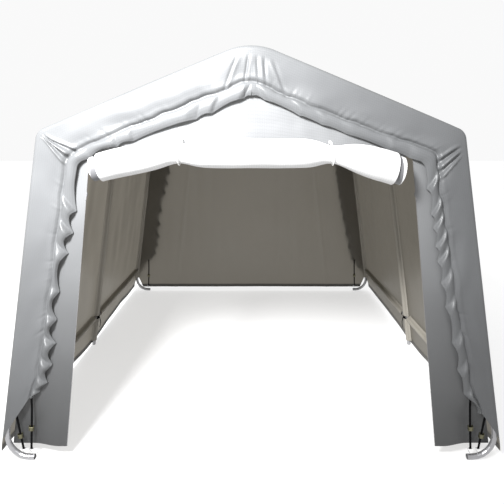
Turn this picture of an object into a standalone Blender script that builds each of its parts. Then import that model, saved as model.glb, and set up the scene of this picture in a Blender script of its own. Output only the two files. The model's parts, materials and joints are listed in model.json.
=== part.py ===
"""Storage tent: three gabled bows of steel tube under a grey sheet cover.

Metres, +Z up. The door faces -Y, the ridge runs along Y, and the origin lies
on the ground in the middle of the tent's footprint.
"""

import math

import bmesh
import bpy
from mathutils import Vector

# Outline of the cover across the tent, measured to its outer face
HALF_WIDTH = 1.200           # at the ground
EAVE_HALF_WIDTH = 1.027      # at the eave, before the corner is rounded
EAVE_HEIGHT = 1.573
RIDGE_HEIGHT = 2.009         # before the ridge is rounded
EAVE_RADIUS = 0.060
RIDGE_RADIUS = 0.300

# Along the tent
BOW_SPACING = 1.181
COVER_REACH = 0.0185         # from an end bow's axis to the outer face of the flap over it

# Steel tubes and sleeves
TUBE_RADIUS = 0.0125
TUBE_WALL = 0.0012
SLEEVE_RADIUS = 0.0150
SLEEVE_BORE = 0.0132
SLEEVE_ARM = 0.070           # straight length of a sleeve past its bend
INSERTION = 0.050            # how deep a tube sits in a sleeve
RAIL_RADIUS = 0.0095
RAIL_HEIGHT = 0.210
TUBE_SIDES = 16
SLEEVE_SIDES = 14
SOCKET_STEP = 0.0001         # how much slimmer a sleeve's side sockets are
OVERSHOOT = 0.01             # how far a boring tool runs past the end it opens

# Feet of the four corner legs
FOOT_BEND = 0.110
FOOT_END = 1.035             # distance of the foot's open end from the middle
HOOK_HOLE_RADIUS = 0.0035

# Sheet
SHEET = 0.0015
CLEAR = 0.0003               # gap between pieces that touch
TUBE_DEPTH = 0.018           # from the cover's outer face to a tube's axis
SKIRT_HEIGHT = 0.040
FLAP_WIDTH = 0.200
FLAP_TIP_HEIGHT = 0.306
FLAP_FOOT_HEIGHT = 0.133
WALL_DEPTH = 0.0336          # from the cover's outer face to an end wall's edge
WALL_HEM = 0.062
WALL_CORNER = 0.135          # height at which the wall's lower corner is cut off
FOOT_CLEARANCE = 0.003

# Door
DOOR_FOOT_HALF_WIDTH = 0.882
DOOR_HEAD_HALF_WIDTH = 0.775
DOOR_HEAD = 1.450
ROLL_RADIUS = 0.0705
ROLL_HALF_LENGTH = 0.755
ROLL_HEIGHT = 1.466
ROLL_DROOP = {"left": 0.088, "right": 0.113}
ROLL_LEVEL = 0.32             # half the length over which the roll hangs level
ROLL_CURVE = 1.5              # how the droop grows past that length
ROLL_GAP = 0.014
TIE_PLACES = (-0.330, 0.375)
TIE_RADIUS = 0.003
TIE_SIDES = 8
TIE_REACH = ROLL_RADIUS + TIE_RADIUS + 0.0025    # from the roll's axis to the middle of the cord
TIE_HANG = 0.060             # height of the tie's knot over the roll
TIE_STAND_OFF = 0.002         # gap between the knot and the gable
TIE_WRAP = (70, -195)         # angles of the cord round the roll, in degrees
TIE_STEPS = 16

# Corner straps: top and foot of each one as (distance from the middle, height)
STRAPS = {
    "inner": {"top": (1.045, 0.318), "hook": 1.048, "buckle": 0.62},
    "outer": {"top": (1.125, 0.243), "hook": 1.085, "buckle": 0.66},
}
WEBBING_WIDTH = 0.018
WEBBING = 0.0012
STRAP_SET_BACK = 0.0105      # from the flap's outer face to the middle of the webbing
STRAP_BEND = 0.26            # share of the strap's drop in which it comes forward off the flap
LOOP_RADIUS = 0.0026
LOOP_HEIGHT = 0.056
LOOP_LEAD = 0.006
BUCKLE_HEIGHT = 0.024
BUCKLE_PLATE = 0.0014
CHEEK = 0.0015
CHEEK_GAP = 0.0010           # between the webbing's edge and a cheek
CHEEK_LIP = 0.0010           # how far the cheeks stand out past the pin
PIN_RADIUS = 0.00125
PIN_RAISE = 0.0029           # from the buckle's middle up to its pin
KNUCKLE_RADIUS = 0.0030
KNUCKLE_BORE = 0.00155
PIN_STAND_OFF = 0.0034
LEVER_LENGTH = 0.015
LEVER_THICKNESS = 0.0018
LEVER_SIDE_GAP = 0.0008
LEVER_INSET = 0.0004
WIRE_RADIUS = 0.00125
HOOK_BAR_OVERHANG = 0.003
HOOK_SHOULDER = 0.004
HOOK_STAND = 0.006           # straight wire over the foot's hole
HOOK_TIP = 0.0045            # how far the wire reaches into the foot
HOOK_CORNER = 0.002

# Zip sliders
SLIDER_PLACE = 1.270         # height of the parked slider
SLIDER_LENGTH = 0.018
SLIDER_WIDTH = 0.010
SLIDER_DEPTH = 0.0075
PULL_WIDTH = 0.006
PULL_THICKNESS = 0.0020
PULL_LENGTH = 0.032
PULL_OVERLAP = 0.012         # how much of the pull tab lies over the slider

# The roll stands out of the front, so the bows sit back from the middle
FRONT_REACH = ROLL_GAP + ROLL_RADIUS + TIE_REACH + TIE_RADIUS * math.cos(math.pi / TIE_SIDES)
MIDDLE_Y = (FRONT_REACH - COVER_REACH) / 2
FRONT_Y = MIDDLE_Y - BOW_SPACING
REAR_Y = MIDDLE_Y + BOW_SPACING
BOWS = {"front": FRONT_Y, "middle": MIDDLE_Y, "rear": REAR_Y}
SIDES = {"left": -1, "right": 1}

COLOURS = {
    "sheet_outside": ((0.42, 0.43, 0.44), 0.45, 0.0),
    "sheet_inside": ((0.36, 0.35, 0.33), 0.55, 0.0),
    "white_sheet": ((0.85, 0.85, 0.84), 0.5, 0.0),
    "tube_paint": ((0.80, 0.80, 0.80), 0.35, 0.2),
    "sleeve_paint": ((0.70, 0.70, 0.71), 0.4, 0.2),
    "cord": ((0.86, 0.86, 0.84), 0.7, 0.0),
    "webbing": ((0.015, 0.015, 0.016), 0.8, 0.0),
    "plated": ((0.62, 0.61, 0.55), 0.3, 1.0),
    "wire": ((0.75, 0.75, 0.76), 0.25, 1.0),
}


# ---------------------------------------------------------------- helpers

def clear_scene():
    for thing in list(bpy.data.objects):
        bpy.data.objects.remove(thing, do_unlink=True)


def paint(thing, slot):
    """Give the object a material of its own in one of the colours above."""
    colour, roughness, metallic = COLOURS[slot]
    material = bpy.data.materials.new(thing.name + "_" + slot)
    material.use_nodes = True
    shader = material.node_tree.nodes["Principled BSDF"]
    shader.inputs["Base Color"].default_value = (*colour, 1.0)
    shader.inputs["Roughness"].default_value = roughness
    shader.inputs["Metallic"].default_value = metallic
    thing.data.materials.clear()
    thing.data.materials.append(material)


def to_object(name, bm, slot=None, smooth=False):
    bm.normal_update()
    bmesh.ops.recalc_face_normals(bm, faces=bm.faces)
    mesh = bpy.data.meshes.new(name)
    bm.to_mesh(mesh)
    bm.free()
    if smooth:
        mesh.shade_smooth()
        mesh.set_sharp_from_angle(angle=math.radians(35))
    thing = bpy.data.objects.new(name, mesh)
    bpy.context.scene.collection.objects.link(thing)
    if slot:
        paint(thing, slot)
    return thing


def combine(body, tool, operation):
    """Union with the tool or cut by it, keep the result and drop the tool."""
    modifier = body.modifiers.new("combine", "BOOLEAN")
    modifier.operation = operation
    modifier.solver = "EXACT"
    modifier.object = tool
    graph = bpy.context.evaluated_depsgraph_get()
    graph.update()
    result = bpy.data.meshes.new_from_object(body.evaluated_get(graph))
    body.modifiers.clear()
    body.data = result
    bpy.data.objects.remove(tool, do_unlink=True)


def smooth_round(body, slot):
    body.data.shade_smooth()
    body.data.set_sharp_from_angle(angle=math.radians(35))
    paint(body, slot)


def ring(bm, centre, side, up, radius, count, turn=0.5):
    step = 2 * math.pi / count
    corners = []
    for i in range(count):
        angle = (i + turn) * step
        corners.append(bm.verts.new(centre + radius * (math.cos(angle) * side + math.sin(angle) * up)))
    return corners


def bridge(bm, first, second):
    count = len(first)
    for i in range(count):
        j = (i + 1) % count
        bm.faces.new((first[i], first[j], second[j], second[i]))


def frames_along(points, across):
    """Directions square to the path at each point, for a path square to across."""
    frames = []
    for i, point in enumerate(points):
        before = points[max(i - 1, 0)]
        after = points[min(i + 1, len(points) - 1)]
        first = (point - before).normalized() if i > 0 else (after - point).normalized()
        second = (after - point).normalized() if i < len(points) - 1 else first
        tangent = (first + second).normalized()
        normal = tangent.cross(across).normalized()
        stretch = 1 / max(first.dot(tangent), 0.3)
        frames.append((point, normal * stretch, across))
    return frames


def rod(name, points, across, radius, sides, slot=None, bore=None):
    """A round bar or, with a bore, an open tube along points in one plane."""
    bm = bmesh.new()
    outer = []
    inner = []
    for point, normal, flat in frames_along(points, across):
        outer.append(ring(bm, point, normal, flat, radius, sides))
        if bore:
            inner.append(ring(bm, point, normal, flat, bore, sides))
    for i in range(len(points) - 1):
        bridge(bm, outer[i], outer[i + 1])
        if bore:
            bridge(bm, inner[i + 1], inner[i])
    if bore:
        bridge(bm, inner[0], outer[0])
        bridge(bm, outer[-1], inner[-1])
    else:
        bm.faces.new(list(reversed(outer[0])))
        bm.faces.new(outer[-1])
    return to_object(name, bm, slot, smooth=True)


def plate(name, outline, start, thickness, slot):
    """A flat sheet across Y with the outline (x, z)."""
    bm = bmesh.new()
    layers = []
    for offset in (start, start + thickness):
        layers.append([bm.verts.new((u, offset, v)) for u, v in outline])
    bm.faces.new(layers[0])
    bm.faces.new(list(reversed(layers[1])))
    bridge(bm, layers[0], layers[1])
    return to_object(name, bm, slot)


def fillet(before, corner, after, radius, steps):
    """Points of the round that replaces a corner of a path."""
    into = (corner - before).normalized()
    out = (after - corner).normalized()
    turn = into.angle(out)
    start = corner - into * radius * math.tan(turn / 2)
    centre_way = (out - into).normalized()
    centre = corner + centre_way * radius / math.cos(turn / 2)
    radial = start - centre
    points = []
    for i in range(steps + 1):
        angle = turn * i / steps
        points.append(centre + radial * math.cos(angle) + into * radius * math.sin(angle))
    return points


# ---------------------------------------------------------------- outline of the tent

def section(depth):
    """Ground, eave and ridge corners, as (x, z) on the right, at a depth inside the cover."""
    ground = Vector((HALF_WIDTH, 0))
    eave = Vector((EAVE_HALF_WIDTH, EAVE_HEIGHT))
    ridge = Vector((0, RIDGE_HEIGHT))
    leg = (eave - ground).normalized()
    roof = (ridge - eave).normalized()
    leg_inward = Vector((-leg.y, leg.x))
    roof_inward = Vector((-roof.y, roof.x))
    leg_point = ground + leg_inward * depth
    roof_point = ridge + roof_inward * depth
    low = leg_point - leg * (leg_point.y / leg.y)
    high = roof_point - roof * (roof_point.x / roof.x)
    gap = high - low
    along_leg = (gap.x * roof.y - gap.y * roof.x) / (leg.x * roof.y - leg.y * roof.x)
    return low, low + leg * along_leg, high


def leg_x(height, depth):
    """Distance from the middle of the leg line at a height."""
    low, eave, _ = section(depth)
    return low.x + (eave.x - low.x) * height / eave.y


def eave_round(depth, steps):
    low, eave, ridge = section(depth)
    return fillet(low, eave, ridge, EAVE_RADIUS - depth, steps)


def ridge_round(depth, steps, half=True):
    """The round of the ridge, from the right slope to the middle or right across."""
    _, eave, ridge = section(depth)
    points = fillet(eave, ridge, Vector((-eave.x, eave.y)), RIDGE_RADIUS - depth, 2 * steps)
    return points[:steps + 1] if half else points


def arch(depth, steps_eave=4, steps_ridge=5):
    """Right half of the bow line above the leg, from the eave to the middle."""
    return eave_round(depth, steps_eave) + ridge_round(depth, steps_ridge)


def in_bow(point, side, bow_y):
    return Vector((side * point.x, bow_y, point.y))


# ---------------------------------------------------------------- frame

def foot_points(steps=7):
    """The corner leg's foot: an open end on the ground and a bend up into the leg."""
    height = TUBE_RADIUS * math.cos(math.pi / TUBE_SIDES)
    end = Vector((FOOT_END, height))
    corner = Vector((leg_x(height, TUBE_DEPTH), height))
    _, eave, _ = section(TUBE_DEPTH)
    return [end] + fillet(end, corner, eave, FOOT_BEND, steps)


def foot_height_at(distance):
    """Height of the foot's axis at a distance from the middle, on its bend."""
    bend = foot_points()
    start = bend[1]
    reach = max(distance - start.x, 0)
    return start.y + FOOT_BEND - math.sqrt(FOOT_BEND ** 2 - reach ** 2)


def add_leg(bow, side_name):
    side = SIDES[side_name]
    bow_y = BOWS[bow]
    corner = eave_round(TUBE_DEPTH, 4)[0]
    low, eave, _ = section(TUBE_DEPTH)
    up = (eave - low).normalized()
    top = corner - up * (SLEEVE_ARM - INSERTION)
    if bow == "middle":
        lean = math.atan2(low.x - eave.x, eave.y)
        bottom = low + up * TUBE_RADIUS * math.tan(lean)
        points = [bottom, top]
    else:
        points = foot_points() + [top]
    path = [in_bow(point, side, bow_y) for point in points]
    name = f"leg_{bow}_{side_name}"
    leg = rod(name, path, Vector((0, 1, 0)), TUBE_RADIUS, TUBE_SIDES, "tube_paint",
              bore=TUBE_RADIUS - TUBE_WALL)
    if bow == "front":
        for strap in STRAPS.values():
            drill_hook_hole(leg, side * strap["hook"], bow_y, foot_height_at(strap["hook"]))
        smooth_round(leg, "tube_paint")
    return leg


def drill_hook_hole(leg, x, y, height):
    base = Vector((x, y, height + TUBE_RADIUS * 0.3))
    top = Vector((x, y, height + TUBE_RADIUS * 2))
    drill = rod("drill", [base, top], Vector((0, 1, 0)), HOOK_HOLE_RADIUS, 10)
    combine(leg, drill, "DIFFERENCE")


def add_rafter(bow, side_name):
    eave_end = eave_round(TUBE_DEPTH, 4)[-1]
    ridge_start = ridge_round(TUBE_DEPTH, 5)[0]
    up = (ridge_start - eave_end).normalized()
    short = SLEEVE_ARM - INSERTION
    ends = [eave_end + up * short, ridge_start - up * short]
    path = [in_bow(point, SIDES[side_name], BOWS[bow]) for point in ends]
    rod(f"rafter_{bow}_{side_name}", path, Vector((0, 1, 0)), TUBE_RADIUS, TUBE_SIDES, "tube_paint",
        bore=TUBE_RADIUS - TUBE_WALL)


def purlin_ways(bow):
    """Directions along Y in which a bow's sleeves hold purlins."""
    return {"front": (1,), "middle": (1, -1), "rear": (-1,)}[bow]


def finish_sleeve(sleeve, path, hub, bow):
    """Add the sockets for the purlins and bore the sleeve out."""
    ways = purlin_ways(bow)
    for way in ways:
        tip = hub + Vector((0, way * SLEEVE_ARM, 0))
        socket = rod("socket", [hub, tip], Vector((1, 0, 0)), SLEEVE_RADIUS - SOCKET_STEP, SLEEVE_SIDES)
        combine(sleeve, socket, "UNION")
    first = path[0] + (path[0] - path[1]).normalized() * OVERSHOOT
    last = path[-1] + (path[-1] - path[-2]).normalized() * OVERSHOOT
    through = rod("through", [first] + path + [last], Vector((0, 1, 0)), SLEEVE_BORE, SLEEVE_SIDES)
    combine(sleeve, through, "DIFFERENCE")
    for way in ways:
        start = hub + Vector((0, way * (SLEEVE_ARM - INSERTION - CLEAR), 0))
        tip = hub + Vector((0, way * (SLEEVE_ARM + OVERSHOOT), 0))
        bore = rod("bore", [start, tip], Vector((1, 0, 0)), SLEEVE_BORE, SLEEVE_SIDES)
        combine(sleeve, bore, "DIFFERENCE")
    smooth_round(sleeve, "sleeve_paint")


def add_eave_sleeve(bow, side_name):
    side = SIDES[side_name]
    bend = eave_round(TUBE_DEPTH, 4)
    low, eave, ridge = section(TUBE_DEPTH)
    start = bend[0] + (low - eave).normalized() * SLEEVE_ARM
    end = bend[-1] + (ridge - eave).normalized() * SLEEVE_ARM
    path = [in_bow(point, side, BOWS[bow]) for point in [start] + bend + [end]]
    sleeve = rod(f"eave_sleeve_{bow}_{side_name}", path, Vector((0, 1, 0)), SLEEVE_RADIUS, SLEEVE_SIDES)
    finish_sleeve(sleeve, path, in_bow(bend[2], side, BOWS[bow]), bow)


def add_ridge_sleeve(bow):
    bend = ridge_round(TUBE_DEPTH, 3, half=False)
    _, eave, ridge = section(TUBE_DEPTH)
    down = (eave - ridge).normalized()
    start = bend[0] + down * SLEEVE_ARM
    end = Vector((-start.x, start.y))
    path = [in_bow(point, 1, BOWS[bow]) for point in [start] + bend + [end]]
    sleeve = rod(f"ridge_sleeve_{bow}", path, Vector((0, 1, 0)), SLEEVE_RADIUS, SLEEVE_SIDES)
    finish_sleeve(sleeve, path, in_bow(bend[3], 1, BOWS[bow]), bow)


def add_tube_along(name, point, start_y, end_y, radius):
    path = [Vector((point.x, start_y, point.y)), Vector((point.x, end_y, point.y))]
    rod(name, path, Vector((1, 0, 0)), radius, TUBE_SIDES, "tube_paint", bore=radius - TUBE_WALL)


def add_purlins():
    ridge = ridge_round(TUBE_DEPTH, 3)[-1]
    eave = eave_round(TUBE_DEPTH, 4)[2]
    short = SLEEVE_ARM - INSERTION
    side_gap = TUBE_RADIUS + 2 * CLEAR
    rail = Vector((leg_x(RAIL_HEIGHT, TUBE_DEPTH), RAIL_HEIGHT))
    for half, start, end in (("front", FRONT_Y, MIDDLE_Y), ("rear", MIDDLE_Y, REAR_Y)):
        add_tube_along(f"ridge_purlin_{half}", ridge, start + short, end - short, TUBE_RADIUS)
        for side_name, side in SIDES.items():
            place = Vector((side * eave.x, eave.y))
            add_tube_along(f"eave_purlin_{half}_{side_name}", place, start + short, end - short, TUBE_RADIUS)
            place = Vector((side * rail.x, rail.y))
            add_tube_along(f"low_rail_{half}_{side_name}", place, start + side_gap, end - side_gap, RAIL_RADIUS)


# ---------------------------------------------------------------- cover and end walls

def shortened(points, length):
    """The path without its last stretch."""
    last = points[-1]
    way = (points[-2] - last).normalized()
    return points[:-1] + [last + way * length]


def add_roof_panel(side_name):
    """Half of the roof, from the middle of the eave's round to the ridge."""
    side = SIDES[side_name]
    faces = []
    for depth in (0, SHEET):
        line = list(reversed(eave_round(depth, 6)[3:]))
        line = shortened(line, CLEAR)
        top = shortened(ridge_round(depth, 4), CLEAR)
        faces.append(list(reversed(line)) + top)
    add_strip(f"canopy_roof_{side_name}", faces, side)


def add_side_panel(side_name):
    """One side of the cover, from the skirt's hem to the middle of the eave's round."""
    faces = []
    for depth in (0, SHEET):
        bottom = Vector((leg_x(SKIRT_HEIGHT, depth), SKIRT_HEIGHT))
        faces.append([bottom] + shortened(eave_round(depth, 6)[:4], CLEAR))
    add_strip(f"canopy_side_{side_name}", faces, SIDES[side_name])


def add_strip(name, faces, side):
    outer, inner = faces
    outline = [(side * point.x, point.y) for point in outer + list(reversed(inner))]
    start = FRONT_Y - COVER_REACH + SHEET + CLEAR
    length = 2 * BOW_SPACING + 2 * (COVER_REACH - SHEET - CLEAR)
    plate(name, outline, start, length, "sheet_outside")


def add_flap(bow):
    """The cover's edge turned over an end bow, cut off on a slant over the feet."""
    outer = [Vector((leg_x(FLAP_FOOT_HEIGHT, 0), FLAP_FOOT_HEIGHT))] + arch(0)
    inner = [Vector((leg_x(FLAP_TIP_HEIGHT, FLAP_WIDTH), FLAP_TIP_HEIGHT))]
    low, eave, ridge = section(FLAP_WIDTH)
    inner += fillet(low, eave, ridge, 0.05, 3)
    inner += fillet(eave, ridge, Vector((-eave.x, eave.y)), 0.10, 4)[:3]
    half = [(point.x, point.y) for point in outer]
    other = [(-x, z) for x, z in reversed(half[:-1])]
    inside = [(point.x, point.y) for point in inner]
    inside_other = [(-x, z) for x, z in reversed(inside[:-1])]
    outline = half + other + list(reversed(inside + inside_other))
    start = FRONT_Y - COVER_REACH if bow == "front" else REAR_Y + COVER_REACH - SHEET
    plate(f"canopy_flap_{bow}", outline, start, SHEET, "sheet_outside")


def clear_of_foot(height):
    """Distance from the middle at which a sheet passes inside the bend of the foot."""
    bend = foot_points()
    centre_height = bend[1].y + FOOT_BEND
    inside = FOOT_BEND - TUBE_RADIUS - FOOT_CLEARANCE
    return bend[1].x + math.sqrt(inside ** 2 - (centre_height - height) ** 2)


def wall_edge(hem):
    """Right half of an end wall's outer edge, from its hem to the ridge."""
    corner = Vector((clear_of_foot(hem), hem))
    above = Vector((leg_x(WALL_CORNER, WALL_DEPTH), WALL_CORNER))
    return [corner, above] + arch(WALL_DEPTH)


def add_front_wall():
    """Gable and two jambs in one sheet around the doorway."""
    outer = [(point.x, point.y) for point in wall_edge(WALL_HEM)]
    door = [(DOOR_FOOT_HALF_WIDTH, WALL_HEM), (DOOR_HEAD_HALF_WIDTH, DOOR_HEAD)]
    outline = outer + [(-x, z) for x, z in reversed(outer[:-1])]
    outline += [(-x, z) for x, z in door] + list(reversed(door))
    plate("front_wall", outline, FRONT_Y - SHEET / 2, SHEET, "sheet_outside")


def add_rear_wall():
    outer = [(point.x, point.y) for point in wall_edge(SKIRT_HEIGHT)]
    outline = outer + [(-x, z) for x, z in reversed(outer[:-1])]
    plate("rear_wall", outline, REAR_Y - SHEET / 2, SHEET, "sheet_inside")


# ---------------------------------------------------------------- rolled door

ROLL_Y = FRONT_Y - ROLL_GAP - ROLL_RADIUS


def roll_sag(x):
    """How far the roll's axis hangs below its middle: level between the ties, drooping outside."""
    reach = max(abs(x) - ROLL_LEVEL, 0) / (ROLL_HALF_LENGTH - ROLL_LEVEL)
    return ROLL_DROOP["left" if x < 0 else "right"] * reach ** ROLL_CURVE


def add_door_roll():
    points = []
    count = 20
    for i in range(count + 1):
        x = ROLL_HALF_LENGTH * (2 * i / count - 1)
        points.append(Vector((x, ROLL_Y, ROLL_HEIGHT - roll_sag(x))))
    rod("door_roll", points, Vector((0, 1, 0)), ROLL_RADIUS, 18, "white_sheet")


def add_tie(index, x):
    """A cord slung round the roll and up to its knot on the gable."""
    axis_height = ROLL_HEIGHT - roll_sag(x)
    knot = Vector((x, FRONT_Y - SHEET / 2 - TIE_RADIUS - TIE_STAND_OFF, axis_height + ROLL_RADIUS + TIE_HANG))
    points = [knot]
    first, last = (math.radians(angle) for angle in TIE_WRAP)
    for i in range(TIE_STEPS + 1):
        angle = first + (last - first) * i / TIE_STEPS
        offset = Vector((0, -math.cos(angle), math.sin(angle))) * TIE_REACH
        points.append(Vector((x, ROLL_Y, axis_height)) + offset)
    rod(f"door_tie_{index}", points, Vector((1, 0, 0)), TIE_RADIUS, TIE_SIDES, "cord")


# ---------------------------------------------------------------- corner straps

def strap_path(strap, side):
    """Middle line of the webbing, from the flap down to the loop round the hook."""
    set_back = FRONT_Y - COVER_REACH + STRAP_SET_BACK
    under_flap = FRONT_Y - COVER_REACH + SHEET + WEBBING / 2 + 2 * CLEAR
    top = Vector((side * strap["top"][0], under_flap, strap["top"][1]))
    foot = Vector((side * strap["hook"], set_back, LOOP_HEIGHT))
    flat = Vector((foot.x - top.x, 0, foot.z - top.z))
    bend = top + flat * STRAP_BEND
    bend.y = set_back
    return top, bend, foot


def strip_along(name, points, width_way, width, thickness, slot):
    """A flat band along a path, as wide as width along width_way."""
    bm = bmesh.new()
    loops = []
    for point, normal, across in frames_along(points, width_way):
        corners = []
        for u, v in ((1, 1), (-1, 1), (-1, -1), (1, -1)):
            corners.append(bm.verts.new(point + normal * u * thickness / 2 + across * v * width / 2))
        loops.append(corners)
    for i in range(len(loops) - 1):
        bridge(bm, loops[i], loops[i + 1])
    bm.faces.new(list(reversed(loops[0])))
    bm.faces.new(loops[-1])
    return to_object(name, bm, slot)


def strap_frame(top, foot):
    """Direction down the strap and across it, in the plane of the bow."""
    down = Vector((foot.x - top.x, 0, foot.z - top.z)).normalized()
    across = down.cross(Vector((0, 1, 0))).normalized()
    return down, across


def add_strap(name, strap, side):
    top, bend, foot = strap_path(strap, side)
    down, across = strap_frame(top, foot)
    back = Vector((0, 1, 0))
    centre = foot + back * LOOP_RADIUS
    points = [top, bend, foot - down * LOOP_LEAD]
    turns = 10
    for i in range(turns + 1):
        angle = math.radians(180 + 290 * i / turns)
        points.append(centre + back * math.cos(angle) * LOOP_RADIUS - down * math.sin(angle) * LOOP_RADIUS)
    strip_along("strap_" + name, points, across, WEBBING_WIDTH, WEBBING, "webbing")
    return top, foot, down, across, centre


def box_between(name, corner, size, axes, slot=None):
    """A box from a corner along three given directions."""
    bm = bmesh.new()
    bmesh.ops.create_cube(bm, size=1)
    first, second, third = axes
    for vert in bm.verts:
        u, v, w = (vert.co + Vector((0.5, 0.5, 0.5)))
        vert.co = corner + first * u * size[0] + second * v * size[1] + third * w * size[2]
    return to_object(name, bm, slot)


def prism(name, outline, origin, axes, length):
    """An outline in the first two directions, drawn out along the third."""
    first, second, third = axes
    bm = bmesh.new()
    layers = []
    for offset in (0, length):
        layers.append([bm.verts.new(origin + first * u + second * v + third * offset) for u, v in outline])
    bm.faces.new(layers[0])
    bm.faces.new(list(reversed(layers[1])))
    bridge(bm, layers[0], layers[1])
    return to_object(name, bm)


def add_buckle(name, top, foot, down, across, place):
    """A channel behind the webbing with two cheeks and a fixed pin for the cam lever."""
    middle = top + (foot - top) * place
    middle.y = FRONT_Y - COVER_REACH + STRAP_SET_BACK
    forward = Vector((0, -1, 0))
    back = -(WEBBING / 2 + CLEAR)
    front = WEBBING / 2 + PIN_STAND_OFF + PIN_RADIUS + CHEEK_LIP
    inner = WEBBING_WIDTH / 2 + CHEEK_GAP
    outer = inner + CHEEK
    outline = [(-outer, back - BUCKLE_PLATE), (outer, back - BUCKLE_PLATE), (outer, front), (inner, front),
               (inner, back), (-inner, back), (-inner, front), (-outer, front)]
    start = middle - down * BUCKLE_HEIGHT / 2
    body = prism("buckle_" + name, outline, start, (across, forward, down), BUCKLE_HEIGHT)
    pin_centre = middle + forward * (WEBBING / 2 + PIN_STAND_OFF) - down * PIN_RAISE
    reach = across * (inner + CHEEK / 2)
    pin = rod("pin", [pin_centre - reach, pin_centre + reach], forward, PIN_RADIUS, 10)
    combine(body, pin, "UNION")
    paint(body, "plated")
    return pin_centre, inner


def add_lever(name, pin_centre, down, across, inner_half):
    """Cam lever: a knuckle round the pin and a finger tab hanging over the webbing."""
    forward = Vector((0, -1, 0))
    half = inner_half - LEVER_SIDE_GAP
    reach = across * half
    lever = rod("lever_" + name, [-reach, reach], forward, KNUCKLE_RADIUS, 14)
    front = KNUCKLE_RADIUS - LEVER_INSET
    corner = -reach * 0.8 + forward * (front - LEVER_THICKNESS)
    axes = (across, forward, down)
    tab = box_between("tab", corner, (1.6 * half, LEVER_THICKNESS, LEVER_LENGTH), axes)
    combine(lever, tab, "UNION")
    bore = rod("bore", [-reach * 1.3, reach * 1.3], forward, KNUCKLE_BORE, 10)
    combine(lever, bore, "DIFFERENCE")
    lever.location = pin_centre
    smooth_round(lever, "plated")


def add_hook(name, hook_x, loop_centre, down, across):
    """Bent wire: a bar through the webbing's loop, two shoulders and a hook in the foot's hole."""
    bar = WEBBING_WIDTH / 2 + HOOK_BAR_OVERHANG
    foot_height = foot_height_at(abs(hook_x))
    hole = Vector((hook_x, FRONT_Y, foot_height + TUBE_RADIUS))
    points = [loop_centre + across * bar, loop_centre - across * bar]
    points.append(loop_centre - across * bar + down * HOOK_SHOULDER)
    points.append(hole + Vector((0, 0, HOOK_STAND)))
    points.append(hole - Vector((0, 0, HOOK_TIP)))
    wire_along("hook_" + name, soften(points, HOOK_CORNER))


def soften(points, radius):
    """Round the corners of a path with three-step bends."""
    result = [points[0]]
    for before, corner, after in zip(points, points[1:], points[2:]):
        into = (corner - before).normalized()
        out = (after - corner).normalized()
        turn = into.angle(out)
        allowed = min(radius, 0.4 * (corner - before).length / math.tan(turn / 2),
                      0.4 * (after - corner).length / math.tan(turn / 2))
        result += fillet(before, corner, after, allowed, 3)
    result.append(points[-1])
    return result


def wire_along(name, points):
    curve = bpy.data.curves.new(name, "CURVE")
    curve.dimensions = "3D"
    spline = curve.splines.new("POLY")
    spline.points.add(len(points) - 1)
    for target, point in zip(spline.points, points):
        target.co = (*point, 1)
    curve.bevel_depth = WIRE_RADIUS
    curve.bevel_resolution = 1
    curve.use_fill_caps = True
    wire = bpy.data.objects.new(name, curve)
    bpy.context.scene.collection.objects.link(wire)
    paint(wire, "wire")


def add_corner_straps(side_name):
    side = SIDES[side_name]
    for label, strap in STRAPS.items():
        name = f"{side_name}_{label}"
        top, foot, down, across, loop_centre = add_strap(name, strap, side)
        pin_centre, inner_half = add_buckle(name, top, foot, down, across, strap["buckle"])
        add_lever(name, pin_centre, down, across, inner_half)
        add_hook(name, side * strap["hook"], loop_centre, down, across)


# ---------------------------------------------------------------- zip sliders

def add_zip_slider(side_name):
    """A slider that grips the jamb's edge, with its pull tab in front."""
    side = SIDES[side_name]
    foot = Vector((side * DOOR_FOOT_HALF_WIDTH, FRONT_Y, WALL_HEM))
    head = Vector((side * DOOR_HEAD_HALF_WIDTH, FRONT_Y, DOOR_HEAD))
    up = (head - foot).normalized()
    outward = Vector((0, 1, 0)).cross(up).normalized() * side
    forward = Vector((0, -1, 0))
    edge = foot + up * (SLIDER_PLACE - WALL_HEM) / up.z
    axes = (outward, forward, up)
    corner = (-outward * SLIDER_WIDTH * 0.5) - forward * SLIDER_DEPTH / 2 - up * SLIDER_LENGTH / 2
    slider = box_between("zip_slider_" + side_name, corner, (SLIDER_WIDTH, SLIDER_DEPTH, SLIDER_LENGTH), axes)
    slot_corner = -outward * CLEAR * 2 - forward * (SHEET / 2 + CLEAR) - up * SLIDER_LENGTH
    slot = box_between("slot", slot_corner, (SLIDER_WIDTH, SHEET + 2 * CLEAR, 2 * SLIDER_LENGTH), axes)
    combine(slider, slot, "DIFFERENCE")
    tab_corner = -outward * PULL_WIDTH / 2 + forward * (SLIDER_DEPTH / 2 - PULL_THICKNESS / 4)
    tab_corner -= up * (SLIDER_LENGTH / 2 + PULL_LENGTH - PULL_OVERLAP)
    tab = box_between("tab", tab_corner, (PULL_WIDTH, PULL_THICKNESS, PULL_LENGTH), axes)
    combine(slider, tab, "UNION")
    slider.location = edge
    paint(slider, "plated")


# ---------------------------------------------------------------- build

def build():
    clear_scene()
    for bow in BOWS:
        add_ridge_sleeve(bow)
        for side_name in SIDES:
            add_leg(bow, side_name)
            add_rafter(bow, side_name)
            add_eave_sleeve(bow, side_name)
    add_purlins()
    for side_name in SIDES:
        add_roof_panel(side_name)
        add_side_panel(side_name)
        add_corner_straps(side_name)
        add_zip_slider(side_name)
    add_flap("front")
    add_flap("rear")
    add_front_wall()
    add_rear_wall()
    add_door_roll()
    for index, x in enumerate(TIE_PLACES, 1):
        add_tie(index, x)


build()
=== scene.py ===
# Storage tent: cover, end walls, rolled door, cords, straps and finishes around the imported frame.
import json
import math
import random

import bmesh
import bpy
import numpy as np
from mathutils import Matrix, Vector, noise


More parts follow.
